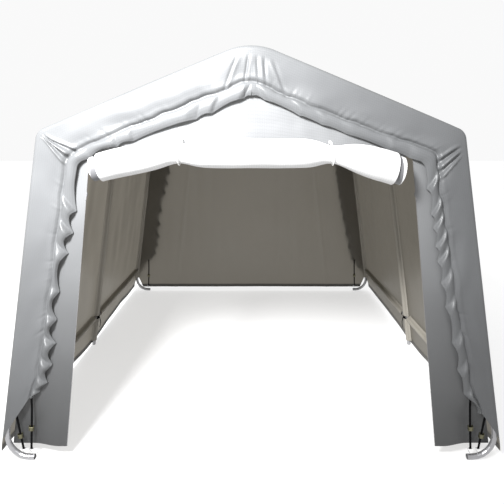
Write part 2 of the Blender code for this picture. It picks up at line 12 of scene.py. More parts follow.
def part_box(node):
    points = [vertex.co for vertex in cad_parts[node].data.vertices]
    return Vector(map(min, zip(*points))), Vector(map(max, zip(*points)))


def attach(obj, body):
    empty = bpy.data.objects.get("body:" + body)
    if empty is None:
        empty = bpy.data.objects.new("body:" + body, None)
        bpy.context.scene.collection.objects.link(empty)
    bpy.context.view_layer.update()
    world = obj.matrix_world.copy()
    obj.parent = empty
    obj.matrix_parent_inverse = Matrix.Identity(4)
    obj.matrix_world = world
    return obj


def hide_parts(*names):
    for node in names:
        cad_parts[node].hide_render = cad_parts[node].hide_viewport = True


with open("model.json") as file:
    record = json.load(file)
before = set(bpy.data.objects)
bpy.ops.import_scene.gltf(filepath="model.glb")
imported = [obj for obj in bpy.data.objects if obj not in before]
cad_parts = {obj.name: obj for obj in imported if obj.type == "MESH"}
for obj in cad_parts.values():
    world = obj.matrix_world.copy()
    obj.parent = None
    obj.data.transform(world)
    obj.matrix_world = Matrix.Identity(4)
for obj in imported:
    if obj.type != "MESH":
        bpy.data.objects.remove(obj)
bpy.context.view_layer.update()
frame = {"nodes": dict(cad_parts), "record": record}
nodes = frame["nodes"]
tentBody = "tent"

frontLow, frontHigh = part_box("leg_front_left")
rearLow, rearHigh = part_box("leg_rear_left")
tubeRadius = (frontHigh.y - frontLow.y) / 2
frontY = (frontLow.y + frontHigh.y) / 2
rearY = (rearLow.y + rearHigh.y) / 2
middleY = (frontY + rearY) / 2
print("frame loaded, bows at", round(frontY, 3), round(middleY, 3), round(rearY, 3))


# camera, level, about 1.5 m up in front of the door
cameraSet = {"place": (0.005, frontY - 2.090, 1.525), "lens": 31.14, "lookDown": 0.0, "shiftY": -0.2202}


def makeCamera():
    data = bpy.data.cameras.new("camera")
    data.lens = cameraSet["lens"]
    data.sensor_width = 36
    data.shift_y = cameraSet["shiftY"]
    camera = bpy.data.objects.new("camera", data)
    camera.location = cameraSet["place"]
    camera.rotation_euler = (math.radians(90 - cameraSet["lookDown"]), 0, 0)
    bpy.context.scene.collection.objects.link(camera)
    bpy.context.scene.camera = camera


makeCamera()


# outline of the tent: points at a depth inside the cover, as in the frame's section
tent = {"halfWidth": 1.200, "eaveHalf": 1.027, "eave": 1.573, "ridge": 2.009,
        "eaveRadius": 0.060, "ridgeRadius": 0.300, "tubeDepth": 0.018, "reach": 0.0185,
        "skirt": 0.040, "flapFoot": 0.133, "wallDepth": 0.0336}

legWay = np.array([tent["eaveHalf"] - tent["halfWidth"], tent["eave"]])
legWay /= np.linalg.norm(legWay)
roofWay = np.array([-tent["eaveHalf"], tent["ridge"] - tent["eave"]])
roofWay /= np.linalg.norm(roofWay)
legIn = np.array([-legWay[1], legWay[0]])
roofIn = np.array([-roofWay[1], roofWay[0]])
mitre = (legIn + roofIn) / (1 + legIn @ roofIn)
eaveTurn = math.acos(legWay @ roofWay)
ridgeTurn = math.atan2(roofWay[1], -roofWay[0])

# Columns of every sheet that follows the bow: (part of the bow, share of that part)
bowParts = {"leg": 200, "eave": 14, "roof": 130, "ridge": 22}


def halfStations(counts):
    kinds = []
    shares = []
    for kind, name in enumerate(bowParts):
        steps = counts[name]
        for i in range(steps):
            kinds.append(kind)
            shares.append(i / steps)
    kinds.append(3)
    shares.append(1.0)
    return np.array(kinds), np.array(shares)


def halfBow(kinds, shares, depth, foot):
    # Right half of the bow line: x, z, outward normal, for a depth and a foot height.
    depth = np.broadcast_to(depth, shares.shape)
    foot = np.broadcast_to(foot, shares.shape)
    eave = np.array([tent["eaveHalf"], tent["eave"]]) + depth[:, None] * mitre
    ridge = np.stack([0 * depth, tent["ridge"] - depth / -roofIn[1]], 1)
    eaveRadius = np.maximum(tent["eaveRadius"] - depth, 0.022) + 0.025 * smoothStep(0.06, 0.16, depth)
    ridgeRadius = np.maximum(tent["ridgeRadius"] - depth, 0.10)
    legTop = eave - legWay * (eaveRadius * math.tan(eaveTurn / 2))[:, None]
    roofFoot = eave + roofWay * (eaveRadius * math.tan(eaveTurn / 2))[:, None]
    roofTop = ridge - roofWay * (ridgeRadius * math.tan(ridgeTurn))[:, None]
    legFoot = eave + legWay * ((foot - eave[:, 1]) / legWay[1])[:, None]
    share = shares[:, None]
    turn = shares * eaveTurn
    eaveArc = legTop + legWay * (eaveRadius * np.sin(turn))[:, None]
    eaveArc += legIn * (eaveRadius * (1 - np.cos(turn)))[:, None]
    turn = shares * ridgeTurn
    ridgeArc = roofTop + roofWay * (ridgeRadius * np.sin(turn))[:, None]
    ridgeArc += roofIn * (ridgeRadius * (1 - np.cos(turn)))[:, None]
    choices = [legFoot + (legTop - legFoot) * share, eaveArc,
               roofFoot + (roofTop - roofFoot) * share, ridgeArc]
    points = np.zeros((len(shares), 2))
    for kind, option in enumerate(choices):
        points[kinds == kind] = option[kinds == kind]
    lean = math.atan2(-legIn[1], -legIn[0])
    pitch = math.atan2(-roofIn[1], -roofIn[0])
    angle = np.select([kinds == 0, kinds == 1, kinds == 2],
                      [lean, lean + shares * (pitch - lean), pitch], pitch + shares * (math.pi / 2 - pitch))
    return points, np.stack([np.cos(angle), np.sin(angle)], 1)


def fullBow(right, left):
    # Left foot over the ridge to the right foot, from two halves given on the right.
    mirrored = left.copy()
    mirrored[:, 0] *= -1
    return np.concatenate([mirrored, right[-2::-1]])


def roughness(points, scale, seed, height):
    # Smooth bumps over points, one value each.
    offset = Vector((seed * 17.3, seed * 5.1, seed * 9.7))
    values = [noise.noise(Vector(p) * scale + offset) for p in points.reshape(-1, 3)]
    return np.array(values).reshape(points.shape[:-1]) * height


def smoothStep(low, high, value):
    t = np.clip((value - low) / (high - low), 0, 1)
    return t * t * (3 - 2 * t)


def shown(name, data):
    thing = bpy.data.objects.new(name, data)
    bpy.context.scene.collection.objects.link(thing)
    return thing


def sheetFrom(name, points, uv, flip=False):
    # A grid of rows of points as one smooth sheet, with its cloth coordinates in metres.
    rows, columns = points.shape[:2]
    index = np.arange(rows * columns).reshape(rows, columns)
    corners = np.stack([index[:-1, :-1], index[:-1, 1:], index[1:, 1:], index[1:, :-1]], -1).reshape(-1, 4)
    if flip:
        corners = corners[:, ::-1]
    mesh = bpy.data.meshes.new(name)
    mesh.from_pydata(points.reshape(-1, 3).tolist(), [], corners.tolist())
    layer = mesh.uv_layers.new(name="UVMap")
    layer.data.foreach_set("uv", uv.reshape(-1, 2)[corners.reshape(-1)].astype(np.float32).reshape(-1))
    mesh.shade_smooth()
    return shown(name, mesh)


def clothCoordinates(points):
    # Distances along the middle row and the middle column, as coordinates of the weave.
    rows, columns = points.shape[:2]
    across = np.linalg.norm(np.diff(points, axis=1), axis=2)
    down = np.linalg.norm(np.diff(points, axis=0), axis=2)
    u = np.concatenate([np.zeros((rows, 1)), np.cumsum(across, 1)], 1)
    u -= u[:, columns // 2][:, None]
    v = np.concatenate([[0], np.cumsum(down.mean(1))])
    return np.stack([u, np.broadcast_to(v[:, None], u.shape)], -1)


# the gathered hem: where it creases, and how deep the seam and the free edge lie
hemLook = {
    "seam": {"left": ((0.30, 0.112), (0.42, 0.140), (0.60, 0.145), (0.85, 0.156), (1.10, 0.158),
                      (1.45, 0.165), (1.80, 0.163), (2.10, 0.168), (2.50, 0.174)),
             "right": ((0.23, 0.074), (0.33, 0.110), (0.50, 0.118), (0.67, 0.130), (0.95, 0.143),
                       (1.30, 0.158), (1.46, 0.150), (1.80, 0.166), (2.10, 0.180), (2.50, 0.174))},
    "edge": {"left": ((0.30, 0.122), (0.36, 0.175), (0.50, 0.192), (0.76, 0.180), (0.95, 0.190),
                      (1.09, 0.214), (1.35, 0.226), (1.60, 0.208), (1.90, 0.232), (2.20, 0.246),
                      (2.50, 0.234)),
             "right": ((0.23, 0.082), (0.33, 0.150), (0.50, 0.164), (0.67, 0.178), (0.95, 0.197),
                       (1.30, 0.206), (1.46, 0.218), (1.70, 0.226), (2.05, 0.240), (2.50, 0.232))},
    "creases": {"left": (0.30, 0.352, 0.41, 0.50, 0.60, 0.71, 0.84, 1.05, 1.17, 1.285, 1.56, 1.72, 1.80,
                         2.16, 2.24, 2.42),
                "right": (0.23, 0.36, 0.49, 0.63, 0.80, 0.93, 1.04, 1.12, 1.20, 1.275, 1.40, 1.62, 1.72,
                          1.95, 2.08, 2.20, 2.40)},
    "slope": {"left": 0.80, "right": 1.25}, "facet": {"left": 0.026, "right": 0.021},
    "scallop": {"left": 0.026, "right": 0.013}, "roofShare": 0.42, "bulge": 0.014, "returnDepth": 0.022,
    "wander": 0.009, "billow": 0.012, "crevice": 0.0105, "lip": 0.0025, "pucker": 0.0035,
    "measureDepth": 0.165, "tip": {"left": 0.306, "right": 0.229}}


def profile(pairs, station):
    places, values = zip(*pairs)
    return np.interp(station, places, values)


def softened(values, passes):
    for _ in range(passes):
        padded = np.concatenate([values[:1], values, values[-1:]])
        values = (padded[:-2] + 2 * padded[1:-1] + padded[2:]) / 4
    return values


# gathers under the ridge: where each starts and ends across the tent, and its strength
pleats = {"lines": ((-0.070, -0.128, 1.0), (-0.012, -0.030, 0.8), (0.028, 0.036, 0.45), (0.062, 0.072, 0.75),
                    (0.104, 0.168, 1.0)), "deep": 0.0085, "wide": 0.0062}
eaveFolds = {"across": (-0.040, -0.020, 0.002, 0.024, 0.044), "height": (0.010, -0.008, 0.011, -0.010, 0.008),
             "wide": 0.0085}


def flapFolds(station, x, a, side):
    # Gathers under the ridge and folds at the eave corner, as forward moves of the flap.
    move = np.zeros(len(station))
    for start, end, force in pleats["lines"]:
        down = np.clip((a - 0.22) / 0.78, 0, 1)
        centre = start + (end - start) * down
        fade = force * smoothStep(0.16, 0.42, a) * (1 - 0.45 * smoothStep(0.80, 1.0, a))
        away = np.where(station > 1.9, (x - centre) * (1 if end > 0 else -1), 1.0)
        move -= pleats["deep"] * fade * np.exp(-(away / pleats["wide"]) ** 2)
        move += 0.55 * pleats["deep"] * fade * np.exp(-((away + 0.014) / (1.9 * pleats["wide"])) ** 2)
    eaveStation = 1.468 if side == "left" else 1.391
    corner = station - eaveStation
    for across, height in zip(eaveFolds["across"], eaveFolds["height"]):
        fade = smoothStep(0.05, 0.40, a) * (1 - 0.4 * smoothStep(0.9, 1.0, a))
        centre = across * (0.40 + 0.75 * a)
        move += height * fade * np.exp(-((corner - centre) / (eaveFolds["wide"] * (0.5 + 0.6 * a))) ** 2)
    return move


def makeHalfFlap(side, kinds, shares, direction, seed):
    # Rows of one half of an end flap, from the corner over the bow to the hidden turn of the hem.
    # direction is -1 at the front and 1 at the rear.
    rng = random.Random(seed)
    tip = hemLook["tip"][side]
    sign = -1 if side == "left" else 1
    seamLine, _ = halfBow(kinds, shares, hemLook["measureDepth"], tip)
    steps = np.linalg.norm(np.diff(seamLine, axis=0), axis=1)
    station = tip + np.concatenate([[0], np.cumsum(steps)])
    seam = softened(profile(hemLook["seam"][side], station), 12)
    edge = softened(profile(hemLook["edge"][side], station), 12)
    wander = np.array([noise.noise(Vector((t * 9.0, seed, 0.5)))
                       + 0.5 * noise.noise(Vector((t * 23.0, seed, 2.5))) for t in station])
    fadeIn = smoothStep(tip, tip + 0.12, station) * smoothStep(0, 0.10, station[-1] - station + 0.03)
    seam = seam + hemLook["wander"] * wander * fadeIn
    creases = np.array(hemLook["creases"][side] + (station[-1] + 0.06,))
    heights = np.array([rng.uniform(0.75, 1.2) for _ in creases])
    bandWidth = edge - seam

    def fold(shift):
        # Place within the stretch between two creases, and that stretch's own strength.
        q = station + shift
        which = np.clip(np.searchsorted(creases, q) - 1, 0, len(creases) - 2)
        share = np.clip((q - creases[which]) / (creases[which + 1] - creases[which]), 0, 1)
        stretch = (creases[which + 1] - creases[which])
        return share, heights[which] * np.clip(stretch / 0.10, 0.6, 1.15)

    slope = hemLook["slope"][side]
    share, strength = fold(slope * bandWidth)
    onLeg = smoothStep(1.45, 1.34, station)
    liveliness = hemLook["roofShare"] + (1 - hemLook["roofShare"]) * onLeg
    edge = edge - hemLook["scallop"][side] * strength * liveliness * (4 * share * (1 - share) - 0.5)
    legCrevice = 0.25 + 0.45 * smoothStep(0.8, 1.1, station)
    crevice = hemLook["crevice"] * np.maximum(smoothStep(1.38, 1.46, station), legCrevice)
    outerY = tent["reach"]
    rows = []

    def addRow(depth, forward, foot):
        points, _ = halfBow(kinds, shares, depth, foot)
        rows.append(np.column_stack([points[:, 0] * sign, np.broadcast_to(forward, depth.shape) * direction,
                                     points[:, 1]]))

    # the bend over the bow
    for i in range(1, 7):
        angle = math.pi / 2 * i / 6
        depth = np.full(len(shares), tent["tubeDepth"] * (1 - math.cos(angle)))
        foot = tent["skirt"] + (tent["flapFoot"] - tent["skirt"]) * (i / 6) ** 0.7
        addRow(depth, outerY * math.sin(angle), foot)
    # the flat of the flap, down to the seam
    steps = 24
    puckers = np.zeros(len(station))
    place = tip + 0.25
    while place < station[-1]:
        width = rng.uniform(0.004, 0.009)
        puckers += rng.uniform(-1, 0.6) * np.exp(-((station - place) / width) ** 2)
        place += rng.uniform(0.025, 0.085)
    for i in range(1, steps + 1):
        a = i / steps
        depth = tent["tubeDepth"] + (seam - tent["tubeDepth"]) * a
        foot = tent["flapFoot"] + (tip - tent["flapFoot"]) * min(a * 1.02, 1)
        forward = outerY + 0.0035 * math.sin(math.pi * a) - crevice * smoothStep(0.90, 1.0, a)
        forward = forward + hemLook["lip"] * math.exp(-((a - 0.86) / 0.07) ** 2)
        billow = np.array([noise.noise(Vector((t * 6.5, seed + 3.0, a * 1.3))) for t in station])
        forward = forward + hemLook["billow"] * billow * fadeIn * smoothStep(0.15, 0.85, a)
        aside = halfBow(kinds, shares, depth, foot)[0][:, 0] * sign
        forward = (forward + flapFolds(station, aside, a, side)
                   + hemLook["pucker"] * puckers * smoothStep(0.55, 0.95, a))
        addRow(depth, forward, foot)
    # the gathered band, and its turn to the back
    steps = 12
    for i in range(1, steps + 1):
        b = i / steps
        depth = seam + (edge - seam) * b
        share, strength = fold(slope * bandWidth * b)
        rise = np.where(share < 0.80, share / 0.80, (1 - share) / 0.20)
        rise = softened(rise, 1)
        body = math.sin(math.pi * min(b * 0.92 + 0.04, 1)) ** 0.7
        forward = outerY - crevice * smoothStep(0.20, 0.0, b) + hemLook["bulge"] * (body - 0.3)
        lift = hemLook["facet"][side] * strength * liveliness * (rise - 0.45)
        forward = forward + lift * (0.30 + 0.70 * smoothStep(0, 0.5, b))
        addRow(depth, forward, tip)
    last = rows[-1]
    lastForward = np.abs(last[:, 1])
    for i in range(1, 5):
        angle = math.pi * i / 4
        depth = edge + 0.004 * math.sin(angle) - hemLook["returnDepth"] * smoothStep(0.4, 1, i / 4)
        forward = lastForward - 0.0045 * (1 - math.cos(angle))
        addRow(depth, np.maximum(forward, 0.0035), tip)
    return rows


# the cover between the bows: depth of the sag, ripples at the tubes, droop of the hem, and the seeds
bodySag = {"deep": 0.013, "ripple": 0.004, "droop": 0.032, "steps": 72, "rearSeed": 11, "frontSeed": 3}
# strips just inside the side hems and the rear hem, which carry the near-black painted shade of the hem line:
# their gap from the sheet, and the rows of the rear strip
hemTape = {"gap": 0.0018, "rearRows": 3}
railHeight = (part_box("low_rail_front_left")[0].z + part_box("low_rail_front_left")[1].z) / 2


def sagShape(kindRow, heights):
    # full in the middle of each panel, none along the eave, ridge and low tubes
    shape = np.zeros(len(kindRow))
    for kind in (0, 2):
        for flank in (0, 1):
            beyond = np.arange(len(kindRow)) > len(kindRow) // 2
            where = np.flatnonzero((kindRow == kind) & (beyond == flank))
            if kind == 0:
                where = where[heights[where] > railHeight + tubeRadius]
            shape[where] = np.sin(np.pi * (np.arange(len(where)) + 0.5) / len(where)) ** 0.8
    return shape


def joinHalves(left, right):
    return np.concatenate([left, right[-2::-1]])


def bothHalves(kinds, shares, direction, seed):
    left = makeHalfFlap("left", kinds, shares, direction, seed)
    return {"left": left, "right": makeHalfFlap("right", kinds, shares, direction, seed + 1)}


def makeCanopy():
    kinds, shares = halfStations(bowParts)
    # body rows from the rear bow to the front bow
    bodySteps = bodySag["steps"]
    rows = []
    rearRows = bothHalves(kinds, shares, 1, bodySag["rearSeed"])
    frontRows = bothHalves(kinds, shares, -1, bodySag["frontSeed"])
    for left, right in zip(rearRows["left"][::-1], rearRows["right"][::-1]):
        row = joinHalves(left, right)
        row[:, 1] += rearY
        rows.append(row)
    body = []
    right, normal = halfBow(kinds, shares, 0, tent["skirt"])
    outline = fullBow(right, right)
    outward = fullBow(normal, normal)
    shape = sagShape(np.concatenate([kinds, kinds[-2::-1]]), outline[:, 1])
    for i in range(bodySteps + 1):
        y = rearY + (frontY - rearY) * i / bodySteps
        body.append(np.column_stack([outline[:, 0], np.full(len(outline), y), outline[:, 1]]))
    body = np.array(body)
    droop = bodySag["droop"] * (0.75 * np.exp(-((body[:, :, 1] - middleY) / 0.32) ** 2)
                                + 0.35 * roughness(body * np.array([1.0, 1.0, 0.0]), 3.5, 7, 1.0))
    body[:, :, 2] -= droop * smoothStep(0.40, 0.0, body[:, :, 2])
    bay = np.abs(np.sin(np.pi * np.linspace(0, 2, bodySteps + 1)))[:, None] ** 0.8
    broad = roughness(body, 2.4, 1, 0.009)
    fine = roughness(body * np.array([1.0, 3.2, 1.0]), 3.0, 2, 0.0075) + roughness(body, 8.0, 21, 0.0022)
    move = (broad + fine - bodySag["deep"]) * bay * shape[None, :]
    pull = roughness(body * np.array([0.6, 9.0, 0.6]), 2.0, 4, bodySag["ripple"])
    move += np.abs(pull) * smoothStep(0.0, 0.25, shape)[None, :] * (1 - bay) ** 2
    body[:, :, 0] += outward[None, :, 0] * move
    body[:, :, 2] += outward[None, :, 1] * move
    rows += list(body)
    for left, right in zip(frontRows["left"], frontRows["right"]):
        row = joinHalves(left, right)
        row[:, 1] += frontY
        rows.append(row)
    points = np.array(rows)
    endRows = len(frontRows["left"])
    for part, sign in ((points[:endRows], 1), (points[-endRows:], -1)):
        soft = roughness(part, 7.0, 3, 0.0030)
        depthFade = np.linspace(1, 0.2, endRows)[:, None]
        if sign < 0:
            depthFade = depthFade[::-1]
        part[:, :, 1] += soft * depthFade
    cover = sheetFrom("canopyCover", points, clothCoordinates(points), flip=True)
    hems = []
    bodyRows = points[endRows:-endRows]
    for side, columns, sign in (("Left", slice(0, 5), 1), ("Right", slice(-5, None), -1)):
        strip = bodyRows[:, columns].copy()
        strip[:, :, 0] += sign * hemTape["gap"]
        hems.append(sheetFrom(f"sideHem{side}", strip, clothCoordinates(strip), flip=True))
    return cover, hems


print("making the cover")
canopy, sideHems = makeCanopy()


# end walls
# hem, cut corners and doorway, the doubled strip over the door, and the leaning seams of the rear wall
wallLook = {"cornerReach": 0.036, "behindFoot": 0.023, "hem": 0.062, "cornerCut": 0.135, "doorFoot": 0.882,
            "doorHead": 0.775, "headHeight": 1.450, "stripHeight": 1.545, "stripHalf": 0.048,
            "stripRaise": 0.0014, "seamFoot": 0.770, "seamLean": 0.105, "seamRaise": 0.0035,
            "seamWide": 0.011}


def makeFrontWall():
    # Gable and jambs in one sheet: rows run from the outer edge in to the doorway.
    counts = {"leg": 70, "eave": 8, "roof": 60, "ridge": 12}
    kinds, shares = halfStations(counts)
    outer, _ = halfBow(kinds, shares, tent["wallDepth"], wallLook["cornerCut"])
    inner = np.zeros_like(outer)
    onLeg = kinds == 0
    legShare = np.where(onLeg, shares, 0)
    top = wallLook["headHeight"]
    hem = wallLook["hem"]
    inner[:, 0] = wallLook["doorFoot"] + (wallLook["doorHead"] - wallLook["doorFoot"]) * legShare
    inner[:, 1] = hem + (top - hem) * legShare
    above = ~onLeg
    run = np.linspace(0, 1, above.sum())
    inner[above, 0] = wallLook["doorHead"] * (1 - run)
    inner[above, 1] = top
    rowCount = 26
    rows = []
    for i in range(rowCount + 1):
        a = i / rowCount
        half = outer + (inner - outer) * a
        rows.append(half)
    rows = np.array(rows)
    # lower corner: the hem runs level, then the sheet is cut off beside the foot
    cut = footGap
    for i in range(rowCount + 1):
        x = rows[i, 0, 0]
        if x > cut:
            floorHere = hem + (wallLook["cornerCut"] - hem) * (x - cut) / (rows[0, 0, 0] - cut)
        else:
            floorHere = hem
        topHere = rows[i, onLeg, 1][-1]
        start = rows[i, 0, 1]
        stretch = (topHere - floorHere) / (topHere - start)
        rows[i, onLeg, 1] = floorHere + (rows[i, onLeg, 1] - start) * stretch
    grid = []
    for i in range(rowCount + 1):
        full = fullBow(rows[i], rows[i])
        grid.append(np.column_stack([full[:, 0], np.full(len(full), frontY), full[:, 1]]))
    points = np.array(grid)
    bumps = roughness(points, 4.0, 5, 0.0045) + roughness(points * np.array([3.0, 1, 0.7]), 4.5, 6, 0.0030)
    fade = np.sin(np.linspace(0.12, 1.0, rowCount + 1) * math.pi)[:, None] ** 0.5
    low = smoothStep(0.5, 1.45, points[:, :, 2])
    points[:, :, 1] += bumps * fade * (0.25 + 0.75 * low)
    lowOuter = smoothStep(0.34, 0.16, points[:, :, 2]) * smoothStep(0.92, 1.05, np.abs(points[:, :, 0]))
    points[:, :, 1] += wallLook["behindFoot"] * lowOuter
    # the doubled strip over the door's head
    away = np.abs(points[:, :, 2] - wallLook["stripHeight"]) - wallLook["stripHalf"]
    points[:, :, 1] -= wallLook["stripRaise"] * smoothStep(0.004, 0.0, away)
    return sheetFrom("frontWallSheet", points, clothCoordinates(points), flip=True)


def lowerCorner(node, hem):
    # Distance from the middle at which the wall's hem ends beside the foot.
    best = 0
    for vertex in nodes[node].data.vertices:
        if abs(vertex.co.z - hem) < 0.002:
            best = max(best, vertex.co.x)
    return best


footGap = lowerCorner("front_wall", wallLook["hem"]) + wallLook["cornerReach"]


def makeRearWall():
    hem = tent["skirt"]
    columns = 150
    rowCount = 90
    kinds, shares = halfStations({"leg": 60, "eave": 8, "roof": 60, "ridge": 16})
    edge, _ = halfBow(kinds, shares, tent["wallDepth"], wallLook["cornerCut"])
    cut = lowerCorner("rear_wall", hem)
    legX = np.concatenate([[cut], edge[kinds == 0][:, 0]])
    legZ = np.concatenate([[hem], edge[kinds == 0][:, 1]])
    upper = edge[kinds >= 1]
    rows = []
    for r in range(rowCount + 1):
        line = []
        for c in range(columns + 1):
            across = 2 * c / columns - 1
            topX = abs(across) * legX[-1]
            topZ = np.interp(topX, upper[::-1, 0], upper[::-1, 1])
            z = hem + (topZ - hem) * r / rowCount
            x = across * np.interp(z, legZ, legX)
            line.append((x, rearY, z))
        rows.append(line)
    points = np.array(rows)
    bumps = roughness(points, 3.0, 8, 0.006) + roughness(points * np.array([3.5, 1, 0.5]), 3.0, 9, 0.004)
    middle = np.sin(np.pi * np.linspace(0.03, 0.97, columns + 1))[None, :] ** 0.6
    points[:, :, 1] += bumps * middle
    seamX = wallLook["seamFoot"] - wallLook["seamLean"] * points[:, :, 2]
    away = (np.abs(points[:, :, 0]) - seamX) / wallLook["seamWide"]
    points[:, :, 1] -= wallLook["seamRaise"] * np.exp(-away ** 2)
    strip = points[:hemTape["rearRows"]].copy()
    strip[:, :, 1] -= hemTape["gap"]
    strip[-1, :, 2] = hem + 0.028
    hemStrip = sheetFrom("rearHem", strip, clothCoordinates(strip), flip=True)
    return sheetFrom("rearWallSheet", points, clothCoordinates(points), flip=True), hemStrip


print("making the end walls")
frontWall = makeFrontWall()
rearWall, rearHem = makeRearWall()


# rolled door: one sheet wound up, pinched by its two ties
rollLow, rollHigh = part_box("door_roll")
rollLook = {"radius": 0.0722, "core": 0.021, "turns": 4.6, "halfLength": 0.690, "tuck": 0.030,
            "stagger": 0.020, "level": 0.32, "droop": {"left": 0.088, "right": 0.113},
            "pinch": (0.33, 0.40), "pinchWide": 0.075, "flare": 0.16, "slant": 0.018, "headZ": 1.452,
            "around": 40, "along": 150, "lastAngle": 150, "growth": 0.85, "shortRight": 0.035,
            "behind": 0.014, "backSize": 0.0705, "height": 1.466}
tiePlaces = [(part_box(name)[0].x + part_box(name)[1].x) / 2 for name in ("door_tie_1", "door_tie_2")]
rollY = frontY - rollLook["behind"] - rollLook["backSize"]
rollZ = rollLook["height"]
rollEnd = rollHigh.x


def rollDrop(x):
    reach = np.maximum(np.abs(x) - rollLook["level"], 0) / (rollEnd - rollLook["level"])
    return np.where(x < 0, rollLook["droop"]["left"], rollLook["droop"]["right"]) * reach ** 1.5


def rollSize(x):
    # Share of the full radius at a place along the roll.
    size = np.ones_like(x)
    for place, pinch in zip(tiePlaces, rollLook["pinch"]):
        size *= 1 - pinch * np.exp(-((x - place) / rollLook["pinchWide"]) ** 2)
    size *= 1 + rollLook["flare"] * smoothStep(tiePlaces[1] + 0.06, tiePlaces[1] + 0.20, x)
    return size * (1 + 0.010 * np.sin(x * 9.0 + 0.6) + 0.006 * np.sin(x * 21.0))


def makeRoll():
    turns = rollLook["turns"]
    stepsRound = int(rollLook["around"] * turns)
    rows = []
    for i in range(stepsRound + 1):
        share = i / stepsRound
        angle = 2 * math.pi * turns * (share - 1) + math.radians(rollLook["lastAngle"])
        radius = rollLook["core"] + (rollLook["radius"] - rollLook["core"]) * share ** rollLook["growth"]
        inside = 1 - share
        slant = rollLook["slant"] * math.sin(angle)
        tuck = rollLook["tuck"] * float(smoothStep(0.217, 0.245, inside)) + rollLook["stagger"] * inside
        leftEnd = -(rollLook["halfLength"] + tuck + slant * (1 - 0.5 * inside))
        rightEnd = rollLook["halfLength"] - rollLook["shortRight"] + tuck + slant * (1 - 0.5 * inside)
        x = np.linspace(leftEnd, rightEnd, rollLook["along"] + 1)
        x = np.clip(x, -rollEnd + 0.001, rollEnd - 0.001)
        size = rollSize(x) * radius
        wobble = 0.0009 * np.sin(x * 13 + angle * 2) + 0.0006 * np.sin(x * 29 - angle * 3)
        size = size + wobble * share
        y = rollY - np.cos(angle) * size
        z = rollZ - rollDrop(x) + np.sin(angle) * size
        rows.append(np.column_stack([x, y, z]))
    # the last of the sheet goes back up to the gable
    start = rows[-1]
    for i in range(1, 9):
        a = i / 8
        target = np.column_stack([start[:, 0], np.full(len(start), frontY - 0.0035),
                                  np.full(len(start), rollLook["headZ"])])
        row = start + (target - start) * a
        rows.append(row)
    points = np.array(rows)
    cloth = clothCoordinates(points)
    outerFrom = float(cloth[int(stepsRound * 0.77), 0, 1])
    print("door sheet wound:", round(float(cloth[-1, 0, 1]), 3), "m, outer winding from", round(outerFrom, 3))
    return sheetFrom("doorRoll", points, cloth), outerFrom


print("winding the door")
doorRoll, outerFrom = makeRoll()


# cords
def tubeAlong(name, points, radius, sides=10, resolution=6):
    # A round cord through a few points on one smooth curve.
    curve = bpy.data.curves.new(name, "CURVE")
    curve.dimensions = "3D"
    spline = curve.splines.new("BEZIER")
    spline.bezier_points.add(len(points) - 1)
    for target, point in zip(spline.bezier_points, points):
        target.co = point
        target.handle_left_type = "AUTO"
        target.handle_right_type = "AUTO"
    spline.resolution_u = resolution
    curve.bevel_depth = radius
    curve.bevel_resolution = sides // 4
    curve.use_fill_caps = True
    return shown(name, curve)


tieLook = {"radius": 0.0022, "knot": 0.0052}


def makeTie(index, x):
    size = float(rollSize(np.array([x]))[0]) * rollLook["radius"] + tieLook["radius"] + 0.002
    centre = Vector((x, rollY, rollZ - float(rollDrop(np.array([x]))[0])))
    points = []
    knot = Vector((x, frontY - 0.014, centre.z + size + 0.012))
    points.append(knot)
    for i in range(13):
        angle = math.radians(105 + 250 * i / 12)
        points.append(centre + Vector((0.001 * math.sin(i), -math.cos(angle) * size, math.sin(angle) * size)))
    points.append(knot + Vector((0.003, 0.002, -0.004)))
    loop = tubeAlong(f"doorTieCord{index}", points, tieLook["radius"])
    knotPoints = []
    for i in range(15):
        angle = i * 0.9
        reach = tieLook["knot"] * (0.75 + 0.25 * math.sin(i * 1.7))
        knotPoints.append(knot + Vector((math.cos(angle) * reach, math.sin(angle * 0.7) * reach * 0.8,
                                         math.sin(angle) * reach)))
    knotPoints += [knot + Vector((0.006, -0.006, -0.010)), knot + Vector((0.010, -0.008, -0.022)),
                   knot + Vector((0.009, -0.010, -0.034))]
    bow = tubeAlong(f"doorTieKnot{index}", knotPoints, tieLook["radius"] * 0.95)
    return loop, bow


print("tying the door up")
ties = []
for index, x in enumerate(tiePlaces, 1):
    ties.append(makeTie(index, x))


# straps at the back, the loops at the middle bow, zip teeth and spring buttons
def copyMoved(source, name, move):
    mesh = nodes[source].data.copy()
    mesh.name = name
    mesh.materials.clear()
    mesh.transform(move)
    return shown(name, mesh)


strapLook = {"narrow": 0.58}


def narrowed(thing):
    # webbing drawn in across its width, about the line it hangs on
    places = np.array([vertex.co[:] for vertex in thing.data.vertices])
    flat = places[:, [0, 2]]
    middle = flat.mean(0)
    along = np.linalg.svd(flat - middle, full_matrices=False)[2][0]
    across = np.array([-along[1], along[0]])
    aside = (flat - middle) @ across
    flat = flat - (1 - strapLook["narrow"]) * aside[:, None] * across
    for vertex, place, (x, z) in zip(thing.data.vertices, places, flat):
        vertex.co = (x, place[1], z)
    return thing


def makeStraps():
    # webbing for the front straps, and one whole strap again at each side of the rear wall
    made = {"webbing": [], "plated": [], "wire": []}
    toRear = Matrix.Translation(Vector((0, rearY - frontY, 0)))
    for side in ("left", "right"):
        for label in ("inner", "outer"):
            name = f"frontStrap{side.capitalize()}{label.capitalize()}"
            front = copyMoved(f"strap_{side}_{label}", name, Matrix())
            made["webbing"].append((narrowed(front), f"strap_{side}_{label}"))
        for part, finish in (("strap", "webbing"), ("buckle", "plated"), ("lever", "plated"),
                             ("hook", "wire")):
            thing = copyMoved(f"{part}_{side}_inner", f"rear{part.capitalize()}{side.capitalize()}", toRear)
            if part == "strap":
                narrowed(thing)
            made[finish].append((thing, None))
    return made


pocketLook = {"loose": 0.0045, "wing": 0.010, "legTop": 1.445, "wrinkle": 0.0022}
railLoop = {"height": 0.212, "wide": 0.020, "thick": 0.0016, "tail": 0.075}


